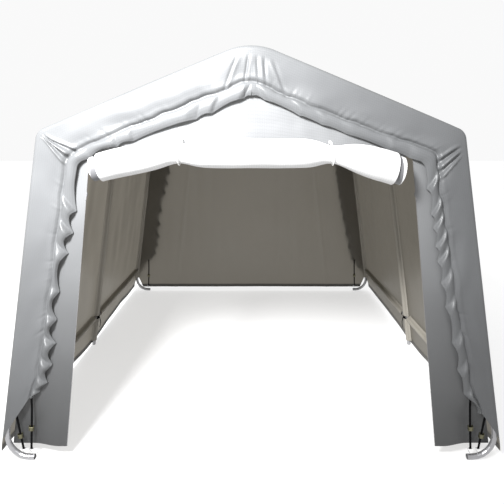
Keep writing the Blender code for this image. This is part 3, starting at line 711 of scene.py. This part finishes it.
def ribbonAlong(name, centres, widthWay, wide, thick):
    # a flat band with softly rounded edges along a path
    section = ((-0.5, -0.3), (-0.5, 0.3), (-0.44, 0.5), (0.44, 0.5),
               (0.5, 0.3), (0.5, -0.3), (0.44, -0.5), (-0.44, -0.5))
    bm = bmesh.new()
    loops = []
    for i, centre in enumerate(centres):
        before = centres[max(i - 1, 0)]
        after = centres[min(i + 1, len(centres) - 1)]
        along = (after - before).normalized()
        across = widthWay - along * widthWay.dot(along)
        across.normalize()
        normal = along.cross(across)
        loops.append([bm.verts.new(centre + across * u * wide + normal * v * thick) for u, v in section])
    count = len(section)
    for first, second in zip(loops, loops[1:]):
        for i in range(count):
            bm.faces.new((first[i], first[(i + 1) % count], second[(i + 1) % count], second[i]))
    bm.faces.new(loops[0][::-1])
    bm.faces.new(loops[-1])
    bmesh.ops.recalc_face_normals(bm, faces=bm.faces)
    mesh = bpy.data.meshes.new(name)
    bm.to_mesh(mesh)
    bm.free()
    mesh.shade_smooth()
    mesh.set_sharp_from_angle(angle=math.radians(50))
    return shown(name, mesh)


def makeRailLoops():
    loops = []
    for side, sign in (("Left", -1), ("Right", 1)):
        foot = Vector((sign * (tent["halfWidth"] - tent["tubeDepth"]), middleY, 0))
        top = Vector((sign * (tent["eaveHalf"] - tent["tubeDepth"]), middleY, tent["eave"]))
        way = (top - foot).normalized()
        centre = foot + way * railLoop["height"]
        flat = Vector((0, 1, 0)).cross(way).normalized()
        reach = tubeRadius + pocketLook["loose"] + railLoop["thick"] + 0.001
        points = []
        for i in range(19):
            angle = math.radians(-112 + 224 * i / 18)
            lift = way * 0.004 * math.sin(angle)
            inward = Vector((-sign * abs(flat.x), 0, -abs(flat.z)))
            aside = Vector((0, math.sin(angle) * reach, 0))
            points.append(centre + lift + inward * math.cos(angle) * reach + aside)
        loops.append(ribbonAlong(f"railLoop{side}", points, way, railLoop["wide"], railLoop["thick"]))
        start = centre + Vector((-sign * reach, -0.004, 0))
        tail = []
        for i in range(9):
            a = i / 8
            bend = -sign * 0.012 * math.sin(2.6 * a)
            tail.append(start + Vector((bend, -0.010 * a, -railLoop["tail"] * a)))
        loops.append(ribbonAlong(f"railTail{side}", tail, Vector((0, 1, 0)), 0.012, railLoop["thick"]))
    return loops


zipLook = {"pitch": 0.0062, "tooth": (0.0034, 0.0022, 0.0026)}


def makeZip(side, sign):
    # teeth along the jamb's inner edge
    foot = Vector((sign * wallLook["doorFoot"], frontY, wallLook["hem"]))
    head = Vector((sign * wallLook["doorHead"], frontY, wallLook["headHeight"]))
    up = (head - foot).normalized()
    inward = Vector((-sign, 0, 0))
    length = (head - foot).length
    count = int(length / zipLook["pitch"])
    bm = bmesh.new()
    wide, deep, tall = zipLook["tooth"]
    for i in range(count):
        place = foot + up * zipLook["pitch"] * (i + 0.5)
        corners = []
        for z in (-0.5, 0.5):
            for u, v in ((-0.55, -0.5), (0.30, -0.5), (0.5, -0.28), (0.5, 0.28), (0.30, 0.5), (-0.55, 0.5)):
                across = inward * u * wide + Vector((0, v * deep, 0))
                corners.append(bm.verts.new(place + across + up * z * tall))
        low, high = corners[:6], corners[6:]
        bm.faces.new(low[::-1])
        bm.faces.new(high)
        for j in range(6):
            bm.faces.new((low[j], low[(j + 1) % 6], high[(j + 1) % 6], high[j]))
    bmesh.ops.recalc_face_normals(bm, faces=bm.faces)
    mesh = bpy.data.meshes.new(f"zipTeeth{side}")
    bm.to_mesh(mesh)
    bm.free()
    return shown(f"zipTeeth{side}", mesh)


buttonLook = {"radius": 0.0042, "height": 0.0032, "arm": 0.046, "past": 0.03, "pastRidge": 0.125,
              "out": 0.0145}


def makeButtons():
    # spring buttons through the sleeves, on the inner face of each arm
    bm = bmesh.new()
    arm = buttonLook["arm"]
    out = buttonLook["out"]
    for bowY in (frontY, middleY, rearY):
        for sign in (-1, 1):
            eave = np.array([tent["eaveHalf"], tent["eave"]]) + tent["tubeDepth"] * mitre
            spots = [(eave - legWay * (arm + buttonLook["past"]), legIn),
                     (eave + roofWay * (arm + buttonLook["past"]), roofIn)]
            ridge = np.array([0, tent["ridge"] - tent["tubeDepth"] / -roofIn[1]])
            spots.append((ridge - roofWay * (arm + buttonLook["pastRidge"]), roofIn))
            for spot, inward in spots:
                centre = Vector((sign * (spot[0] + inward[0] * out), bowY, spot[1] + inward[1] * out))
                way = Vector((sign * inward[0], 0, inward[1]))
                turn = way.to_track_quat("Z", "Y").to_matrix().to_4x4()
                made = bmesh.ops.create_uvsphere(bm, u_segments=12, v_segments=8, radius=buttonLook["radius"])
                squeeze = Matrix.Diagonal((1, 1, buttonLook["height"] / buttonLook["radius"], 1))
                seat = Matrix.Translation(centre) @ turn @ squeeze
                bmesh.ops.transform(bm, matrix=seat, verts=made["verts"])
    mesh = bpy.data.meshes.new("springButtons")
    bm.to_mesh(mesh)
    bm.free()
    mesh.shade_smooth()
    return shown("springButtons", mesh)


def makePocket(name, start, end, outward, reach):
    # a sewn sleeve of sheet round the inner side of a tube; reach is from the tube's middle to the sheet
    way = (end - start).normalized()
    outward = (outward - way * outward.dot(way)).normalized()
    sideways = way.cross(outward).normalized()
    size = tubeRadius + pocketLook["loose"]
    section = [(reach, -size - pocketLook["wing"]), (reach * 0.6, -size - 0.3 * pocketLook["wing"])]
    for i in range(17):
        angle = math.radians(-100 + 200 * i / 16)
        section.append((-math.cos(angle) * size, math.sin(angle) * size))
    section += [(reach * 0.6, size + 0.3 * pocketLook["wing"]), (reach, size + pocketLook["wing"])]
    steps = max(int((end - start).length / 0.012), 4)
    rows = []
    for i in range(steps + 1):
        centre = start + (end - start) * i / steps
        rows.append([tuple(centre + outward * u + sideways * v) for u, v in section])
    points = np.array(rows)
    wrinkle = roughness(points, 9.0, 12, pocketLook["wrinkle"])
    hold = np.sin(np.linspace(0, math.pi, len(section)))[None, :]
    points += wrinkle[:, :, None] * hold[:, :, None] * -np.array(outward)
    points[:, :, 1] = np.minimum(points[:, :, 1], rearY + tubeRadius - 0.003)
    return sheetFrom(name, points, clothCoordinates(points))


def makePockets():
    # along the legs and rafters of the middle and rear bows, and along the low rails
    pockets = []
    reach = tent["tubeDepth"] - 0.0035
    for label, bowY, low in (("Middle", middleY, 0.034), ("Rear", rearY, 0.135)):
        for side, sign in (("Left", -1), ("Right", 1)):
            eave = np.array([tent["eaveHalf"], tent["eave"]]) + tent["tubeDepth"] * mitre
            foot = eave + legWay * (low - eave[1]) / legWay[1]
            top = eave + legWay * (pocketLook["legTop"] - eave[1]) / legWay[1]
            outward = Vector((-sign * legIn[0], 0, -legIn[1]))
            pockets.append(makePocket(f"legPocket{label}{side}", Vector((sign * foot[0], bowY, foot[1])),
                                      Vector((sign * top[0], bowY, top[1])), outward, reach))
            ridge = np.array([0, tent["ridge"] - tent["tubeDepth"] / -roofIn[1]])
            start = eave + roofWay * 0.125
            end = ridge - roofWay * 0.215
            outward = Vector((-sign * roofIn[0], 0, -roofIn[1]))
            pockets.append(makePocket(f"rafterPocket{label}{side}", Vector((sign * start[0], bowY, start[1])),
                                      Vector((sign * end[0], bowY, end[1])), outward, reach))
    for bay in ("front", "rear"):
        for side, sign in (("left", -1), ("right", 1)):
            low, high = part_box(f"low_rail_{bay}_{side}")
            middle = (low + high) / 2
            outward = Vector((-sign * legIn[0], 0, -legIn[1]))
            start = Vector((middle.x, low.y + 0.045, middle.z))
            end = Vector((middle.x, high.y - 0.045, middle.z))
            name = f"railPocket{bay.capitalize()}{side.capitalize()}"
            pockets.append(makePocket(name, start, end, outward, reach))
    return pockets


print("adding pockets, straps, zip teeth and buttons")
pockets = makePockets()
straps = makeStraps()
railLoops = makeRailLoops()
zips = [makeZip("Left", -1), makeZip("Right", 1)]
buttons = makeButtons()


# shader node helpers
def feed(tree, socket, value):
    # a link where the value is another node's output, or else a plain number or colour
    if isinstance(value, bpy.types.NodeSocket):
        tree.links.new(value, socket)
    else:
        socket.default_value = value


def addNode(tree, kind, **inputs):
    made = tree.nodes.new(kind)
    for name, value in inputs.items():
        socket = made.inputs[name] if name in made.inputs else made.inputs[int(name.strip("_"))]
        feed(tree, socket, value)
    return made


def calculate(tree, operation, first, second=0.0, clamp=False):
    made = tree.nodes.new("ShaderNodeMath")
    made.operation = operation
    made.use_clamp = clamp
    for socket, value in zip(made.inputs, (first, second)):
        feed(tree, socket, value)
    return made.outputs[0]


def blendColour(tree, factor, first, second, how="MIX"):
    made = tree.nodes.new("ShaderNodeMix")
    made.data_type = "RGBA"
    made.blend_type = how
    for socket, value in zip((made.inputs[0], made.inputs[6], made.inputs[7]), (factor, first, second)):
        feed(tree, socket, value)
    return made.outputs[2]


def spread(tree, value, low, high, outLow, outHigh):
    made = tree.nodes.new("ShaderNodeMapRange")
    tree.links.new(value, made.inputs[0])
    for socket, number in zip(made.inputs[1:5], (low, high, outLow, outHigh)):
        socket.default_value = number
    return made.outputs[0]


def startGroup(name, inputs, outputs):
    group = bpy.data.node_groups.new(name, "ShaderNodeTree")
    for label, kind, value in inputs:
        socket = group.interface.new_socket(label, in_out="INPUT", socket_type=kind)
        if value is not None:
            socket.default_value = value
    for label, kind in outputs:
        group.interface.new_socket(label, in_out="OUTPUT", socket_type=kind)
    return group, group.nodes.new("NodeGroupInput").outputs, group.nodes.new("NodeGroupOutput").inputs


def useGroup(tree, group, **inputs):
    made = tree.nodes.new("ShaderNodeGroup")
    made.node_tree = group
    for name, value in inputs.items():
        socket = made.inputs[name]
        feed(tree, socket, value)
    return made.outputs


def makeWeaveGroup():
    # flat tapes going over and under each other: height and the dark line between tapes
    group, given, result = startGroup("wovenTapes", [("Vector", "NodeSocketVector", None),
                                                     ("PerMetre", "NodeSocketFloat", 400.0)],
                                      [("Height", "NodeSocketFloat"), ("Gap", "NodeSocketFloat")])
    scaled = addNode(group, "ShaderNodeVectorMath", _0=given["Vector"])
    scaled.operation = "SCALE"
    group.links.new(given["PerMetre"], scaled.inputs["Scale"])
    split = addNode(group, "ShaderNodeSeparateXYZ", _0=scaled.outputs[0])
    waves = []
    for axis in ("X", "Y"):
        turned = calculate(group, "MULTIPLY", split.outputs[axis], math.pi)
        waves.append(calculate(group, "ABSOLUTE", calculate(group, "SINE", turned)))
    checker = addNode(group, "ShaderNodeTexChecker", Vector=scaled.outputs[0], Scale=1.0)
    over = calculate(group, "MULTIPLY", checker.outputs["Fac"], waves[0])
    turnedOver = calculate(group, "SUBTRACT", 1.0, checker.outputs["Fac"])
    under = calculate(group, "MULTIPLY", turnedOver, waves[1])
    height = calculate(group, "ADD", over, under)
    group.links.new(height, result["Height"])
    group.links.new(calculate(group, "LESS_THAN", height, 0.22), result["Gap"])
    return group


def makeMottleGroup():
    # slow tone changes and fine creasing, from two noises of different size
    group, given, result = startGroup("mottle", [("Vector", "NodeSocketVector", None),
                                                 ("Size", "NodeSocketFloat", 3.0),
                                                 ("Fine", "NodeSocketFloat", 40.0)],
                                      [("Slow", "NodeSocketFloat"), ("Crease", "NodeSocketFloat")])
    slow = addNode(group, "ShaderNodeTexNoise", Vector=given["Vector"], Scale=given["Size"], Detail=4.0)
    group.links.new(slow.outputs["Fac"], result["Slow"])
    fine = addNode(group, "ShaderNodeTexNoise", Vector=given["Vector"], Scale=given["Fine"], Detail=6.0,
                   Roughness=0.6, Distortion=0.6)
    ridged = calculate(group, "ABSOLUTE", calculate(group, "SUBTRACT", fine.outputs["Fac"], 0.5))
    group.links.new(calculate(group, "MULTIPLY", ridged, 2.0), result["Crease"])
    return group


def makeWearGroup():
    # dust in patches and small scuffs on painted and plated metal
    group, given, result = startGroup("metalWear", [("Vector", "NodeSocketVector", None),
                                                    ("Size", "NodeSocketFloat", 30.0),
                                                    ("Amount", "NodeSocketFloat", 0.5)],
                                      [("Mask", "NodeSocketFloat"), ("Grain", "NodeSocketFloat")])
    patches = addNode(group, "ShaderNodeTexNoise", Vector=given["Vector"], Scale=given["Size"], Detail=8.0,
                      Roughness=0.65)
    mask = spread(group, patches.outputs["Fac"], 0.52, 0.72, 0.0, 1.0)
    group.links.new(calculate(group, "MULTIPLY", mask, given["Amount"]), result["Mask"])
    grain = addNode(group, "ShaderNodeTexNoise", Vector=given["Vector"], Scale=900.0, Detail=2.0)
    group.links.new(grain.outputs["Fac"], result["Grain"])
    return group


weaveGroup = makeWeaveGroup()
mottleGroup = makeMottleGroup()
wearGroup = makeWearGroup()


def startMaterial(name):
    material = bpy.data.materials.new(name)
    material.use_nodes = True
    tree = material.node_tree
    shader = tree.nodes["Principled BSDF"]
    output = tree.nodes["Material Output"]
    return material, tree, shader, output


# sheet finishes: in each, the share of its colour left at floor level darkens the sheet towards the bottom as
# painted shade
sheetLook = {
    "cover": {"outside": (0.172, 0.177, 0.183), "inside": (0.105, 0.098, 0.084),
              "through": (0.255, 0.235, 0.198),
              "seen": (0.16, 0.165, 0.17), "share": 0.42, "rough": 0.34, "weave": 0.00025, "ground": 0.72},
    # front: a darker-reading copy of the cover's sheet, with less light let through and the strongest painted
    # shade towards the floor, for the jambs
    "front": {"outside": (0.163, 0.167, 0.172), "inside": (0.105, 0.098, 0.084),
              "through": (0.300, 0.280, 0.245),
              "seen": (0.22, 0.225, 0.23), "share": 0.20, "rough": 0.42, "weave": 0.00025, "ground": 0.13},
    "wall": {"outside": (0.172, 0.177, 0.183), "inside": (0.105, 0.098, 0.084),
              "through": (0.285, 0.264, 0.224),
             "seen": (0.16, 0.165, 0.17), "share": 0.42, "rough": 0.40, "weave": 0.00025, "ground": 0.85},
    "pocket": {"outside": (0.33, 0.31, 0.27), "inside": (0.33, 0.31, 0.27), "through": (0.20, 0.18, 0.15),
               "seen": (0.20, 0.18, 0.15), "share": 0.30, "rough": 0.48, "weave": 0.00025, "ground": 0.9},
    # hem: the doubled hem is real, its near-black colour is painted shade along the bottom edges
    "hem": {"outside": (0.060, 0.057, 0.050), "inside": (0.060, 0.057, 0.050), "through": (0.05, 0.05, 0.045),
            "seen": (0.05, 0.05, 0.045), "share": 0.10, "rough": 0.50, "weave": 0.00025, "ground": 0.9},
    # door: its darker inside face shows in the gaps between windings as painted shade, and a band near each
    # end of the inner windings is darkened as painted shade in the roll's ends
    "door": {"outside": (0.60, 0.60, 0.60), "inside": (0.26, 0.26, 0.26), "through": (0.5, 0.5, 0.5),
             "seen": (0.5, 0.5, 0.5), "share": 0.04, "rough": 0.46, "weave": 0.0002, "ground": 1.0,
             "endShadeBand": (0.640, 0.713), "windings": outerFrom, "endShadeColour": (0.105, 0.105, 0.11)}}


def sheetMaterial(name, look):
    material, tree, shader, output = startMaterial(name)
    cloth = addNode(tree, "ShaderNodeUVMap").outputs["UV"]
    place = addNode(tree, "ShaderNodeTexCoord").outputs["Object"]
    weave = useGroup(tree, weaveGroup, Vector=cloth, PerMetre=380.0)
    tapes = useGroup(tree, weaveGroup, Vector=cloth, PerMetre=92.0)
    mottle = useGroup(tree, mottleGroup, Vector=place, Size=2.6, Fine=14.0)
    facing = addNode(tree, "ShaderNodeNewGeometry").outputs["Backfacing"]
    outside = (*look["outside"], 1)
    tone = spread(tree, mottle["Slow"], 0.3, 0.7, 0.90, 1.08)
    height = addNode(tree, "ShaderNodeSeparateXYZ", _0=place).outputs["Z"]
    # painted shade: the colour darkens with height from 1.35 m down to the floor, where only that share is
    # left; the slow mottle is the sheet's own random tone
    tone = calculate(tree, "MULTIPLY", tone, spread(tree, height, 0.0, 1.35, look["ground"], 1.0))
    outsideToneAndShade = blendColour(tree, 1.0, outside, tone, "MULTIPLY")
    inside = blendColour(tree, 1.0, (*look["inside"], 1), tone, "MULTIPLY")
    colour = blendColour(tree, facing, outsideToneAndShade, inside)
    lined = blendColour(tree, calculate(tree, "MULTIPLY", weave["Gap"], 0.16), colour, (0.10, 0.10, 0.10, 1))
    grid = spread(tree, tapes["Height"], 0.0, 1.0, 0.88, 1.06)
    lined = blendColour(tree, 1.0, lined, grid, "MULTIPLY")
    split = addNode(tree, "ShaderNodeSeparateXYZ", _0=cloth)
    height = calculate(tree, "MULTIPLY", weave["Height"], 0.35)
    height = calculate(tree, "ADD", height, calculate(tree, "MULTIPLY", mottle["Crease"], 1.6))
    # painted shade: the inner windings are darkened near both ends of the roll, where they sit recessed
    # inside the outer winding
    if "endShadeBand" in look:
        across = calculate(tree, "ABSOLUTE", split.outputs["X"])
        inner = calculate(tree, "GREATER_THAN", across, look["endShadeBand"][0])
        outer = calculate(tree, "LESS_THAN", across, look["endShadeBand"][1])
        endShadeMask = calculate(tree, "MULTIPLY", calculate(tree, "MULTIPLY", inner, outer),
                           calculate(tree, "LESS_THAN", split.outputs["Y"], look["windings"]))
        lined = blendColour(tree, endShadeMask, lined, (*look["endShadeColour"], 1))
    bump = addNode(tree, "ShaderNodeBump", Strength=0.5, Distance=look["weave"], Height=height)
    rough = spread(tree, mottle["Slow"], 0.25, 0.75, look["rough"] - 0.06, look["rough"] + 0.10)
    tree.links.new(lined, shader.inputs["Base Color"])
    tree.links.new(rough, shader.inputs["Roughness"])
    tree.links.new(bump.outputs[0], shader.inputs["Normal"])
    shader.inputs["Specular IOR Level"].default_value = 0.5
    passing = blendColour(tree, facing, (*look["seen"], 1), (*look["through"], 1))
    glow = addNode(tree, "ShaderNodeBsdfTranslucent", Color=passing, Normal=bump.outputs[0])
    mixed = tree.nodes.new("ShaderNodeMixShader")
    mixed.inputs[0].default_value = look["share"]
    tree.links.new(shader.outputs[0], mixed.inputs[1])
    tree.links.new(glow.outputs[0], mixed.inputs[2])
    tree.links.new(mixed.outputs[0], output.inputs["Surface"])
    return material


metalLook = {
    "tube": {"colour": (0.31, 0.31, 0.32), "dust": (0.22, 0.215, 0.21),
             "rough": 0.27, "metal": 0.7, "coat": 0.25},
    "sleeve": {"colour": (0.29, 0.29, 0.30), "dust": (0.20, 0.195, 0.19),
               "rough": 0.34, "metal": 0.7, "coat": 0.15},
    "plated": {"colour": (0.150, 0.142, 0.092), "dust": (0.10, 0.094, 0.06),
               "rough": 0.34, "metal": 1.0, "coat": 0.0},
    "wire": {"colour": (0.74, 0.74, 0.76), "dust": (0.40, 0.40, 0.38),
             "rough": 0.22, "metal": 1.0, "coat": 0.0},
    "zip": {"colour": (0.13, 0.13, 0.135), "dust": (0.18, 0.18, 0.17),
            "rough": 0.42, "metal": 0.0, "coat": 0.0}}


def metalMaterial(name, look):
    material, tree, shader, _ = startMaterial(name)
    place = addNode(tree, "ShaderNodeTexCoord").outputs["Object"]
    wear = useGroup(tree, wearGroup, Vector=place, Size=28.0, Amount=0.35)
    colour = blendColour(tree, wear["Mask"], (*look["colour"], 1), (*look["dust"], 1))
    rough = calculate(tree, "ADD", calculate(tree, "MULTIPLY", wear["Mask"], 0.35), look["rough"])
    rough = calculate(tree, "ADD", rough, calculate(tree, "MULTIPLY", wear["Grain"], 0.06))
    bump = addNode(tree, "ShaderNodeBump", Strength=0.25, Distance=0.0002, Height=wear["Grain"])
    tree.links.new(colour, shader.inputs["Base Color"])
    tree.links.new(rough, shader.inputs["Roughness"])
    tree.links.new(bump.outputs[0], shader.inputs["Normal"])
    shader.inputs["Metallic"].default_value = look["metal"]
    shader.inputs["Coat Weight"].default_value = look["coat"]
    shader.inputs["Coat Roughness"].default_value = 0.12
    return material


def webbingMaterial(name, colour):
    # ribbed black webbing
    material, tree, shader, _ = startMaterial(name)
    place = addNode(tree, "ShaderNodeTexCoord").outputs["Object"]
    weave = useGroup(tree, weaveGroup, Vector=place, PerMetre=900.0)
    mottle = useGroup(tree, mottleGroup, Vector=place, Size=22.0, Fine=260.0)
    light = tuple(min(c * 1.6 + 0.001, 1) for c in colour)
    tone = calculate(tree, "MULTIPLY", weave["Height"], mottle["Slow"])
    mixed = blendColour(tree, tone, (*colour, 1), (*light, 1))
    bump = addNode(tree, "ShaderNodeBump", Strength=0.7, Distance=0.0004, Height=weave["Height"])
    tree.links.new(mixed, shader.inputs["Base Color"])
    tree.links.new(spread(tree, mottle["Crease"], 0.0, 1.0, 0.62, 0.9), shader.inputs["Roughness"])
    shader.inputs["Specular IOR Level"].default_value = 0.03
    tree.links.new(bump.outputs[0], shader.inputs["Normal"])
    return material


print("mixing the finishes")
coverPaint = sheetMaterial("coverSheet", sheetLook["cover"])
frontPaint = sheetMaterial("frontSheet", sheetLook["front"])
wallPaint = sheetMaterial("wallSheet", sheetLook["wall"])
doorPaint = sheetMaterial("doorSheet", sheetLook["door"])
pocketPaint = sheetMaterial("pocketSheet", sheetLook["pocket"])
hemShadePaint = sheetMaterial("hemShadeSheet", sheetLook["hem"])
tubePaint = metalMaterial("tubePaint", metalLook["tube"])
sleevePaint = metalMaterial("sleevePaint", metalLook["sleeve"])
platedSteel = metalMaterial("platedSteel", metalLook["plated"])
brightWire = metalMaterial("brightWire", metalLook["wire"])
zipPaint = metalMaterial("zipCoil", metalLook["zip"])
blackWebbing = webbingMaterial("blackWebbing", (0.002, 0.002, 0.0022))
whiteCord = webbingMaterial("whiteCord", (0.72, 0.72, 0.70))


def dress(thing, material):
    thing.data.materials.clear()
    thing.data.materials.append(material)


finishOf = {"tube_paint": tubePaint, "sleeve_paint": sleevePaint, "plated": platedSteel, "wire": brightWire,
            "webbing": blackWebbing}
for part in frame["record"]["subparts"]:
    if part["material_slot"] in finishOf:
        dress(nodes[part["node"]], finishOf[part["material_slot"]])

dress(canopy, coverPaint)
dress(frontWall, frontPaint)
dress(rearWall, wallPaint)
dress(doorRoll, doorPaint)
for thing in pockets:
    dress(thing, pocketPaint)
# the hem strips get the near-black painted shade
for thing in sideHems + [rearHem]:
    dress(thing, hemShadePaint)
for thing in [piece for piece, _ in straps["webbing"]] + railLoops:
    dress(thing, blackWebbing)
for thing, _ in straps["plated"]:
    dress(thing, platedSteel)
for thing in [piece for piece, _ in straps["wire"]] + [buttons]:
    dress(thing, brightWire)
for thing in zips:
    dress(thing, zipPaint)
for side in ("left", "right"):
    dress(nodes[f"zip_slider_{side}"], zipPaint)
for loop, bow in ties:
    dress(loop, whiteCord)
    dress(bow, whiteCord)


# which piece rides on what, and what it stands for
def place(thing, slot):
    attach(thing, tentBody)


place(canopy, "sheet_outside")
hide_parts("canopy_roof_left", "canopy_roof_right", "canopy_side_left", "canopy_side_right",
            "canopy_flap_front", "canopy_flap_rear")
for thing in pockets + sideHems + [rearHem]:
    place(thing, "sheet_inside")
place(frontWall, "sheet_outside")
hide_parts("front_wall")
place(rearWall, "sheet_inside")
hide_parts("rear_wall")
place(doorRoll, "white_sheet")
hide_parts("door_roll")
for index, (loop, bow) in enumerate(ties, 1):
    place(loop, "cord")
    place(bow, "cord")
    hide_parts(f"door_tie_{index}")
for finish, things in straps.items():
    for thing, stoodFor in things:
        place(thing, finish)
        if stoodFor:
            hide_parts(stoodFor)
for thing in railLoops:
    place(thing, "webbing")
for thing in zips:
    place(thing, "webbing")
place(buttons, "wire")


# studio
studio = {"floorSize": 60.0, "floorColour": (0.40, 0.40, 0.40), "floorGlow": 0.60, "sky": 0.95,
          "key": {"place": (-1.20, -3.45, 3.2), "aim": (-0.62, -1.1, 1.79), "soft": 0.40,
                  "power": 3000, "cone": 67}}


def makeLight(name, look):
    data = bpy.data.lights.new(name, "SPOT")
    data.energy = look["power"]
    data.shadow_soft_size = look["soft"]
    data.spot_size = math.radians(look["cone"])
    data.spot_blend = 1.0
    light = bpy.data.objects.new(name, data)
    light.location = look["place"]
    light.rotation_euler = (Vector(look["aim"]) - Vector(look["place"])).to_track_quat("-Z", "Y").to_euler()
    bpy.context.scene.collection.objects.link(light)


def makeStudio():
    world = bpy.data.worlds.new("studioSky")
    world.use_nodes = True
    background = world.node_tree.nodes["Background"]
    background.inputs["Color"].default_value = (1, 1, 1, 1)
    background.inputs["Strength"].default_value = studio["sky"]
    bpy.context.scene.world = world
    makeLight("keyLight", studio["key"])
    bm = bmesh.new()
    bmesh.ops.create_grid(bm, x_segments=2, y_segments=2, size=studio["floorSize"] / 2)
    mesh = bpy.data.meshes.new("floor")
    bm.to_mesh(mesh)
    bm.free()
    floor = bpy.data.objects.new("floor", mesh)
    bpy.context.scene.collection.objects.link(floor)
    material, tree, shader, _ = startMaterial("paleFloor")
    place = addNode(tree, "ShaderNodeTexCoord").outputs["Object"]
    grain = useGroup(tree, mottleGroup, Vector=place, Size=1.5, Fine=60.0)
    tone = spread(tree, grain["Slow"], 0.3, 0.7, 0.98, 1.0)
    colour = blendColour(tree, 1.0, (*studio["floorColour"], 1), tone, "MULTIPLY")
    tree.links.new(colour, shader.inputs["Base Color"])
    shader.inputs["Roughness"].default_value = 0.85
    shader.inputs["Emission Color"].default_value = (1, 1, 1, 1)
    shader.inputs["Emission Strength"].default_value = studio["floorGlow"]
    dress(floor, material)
    bpy.context.scene.view_settings.view_transform = "Standard"


print("lighting the studio")
makeStudio()
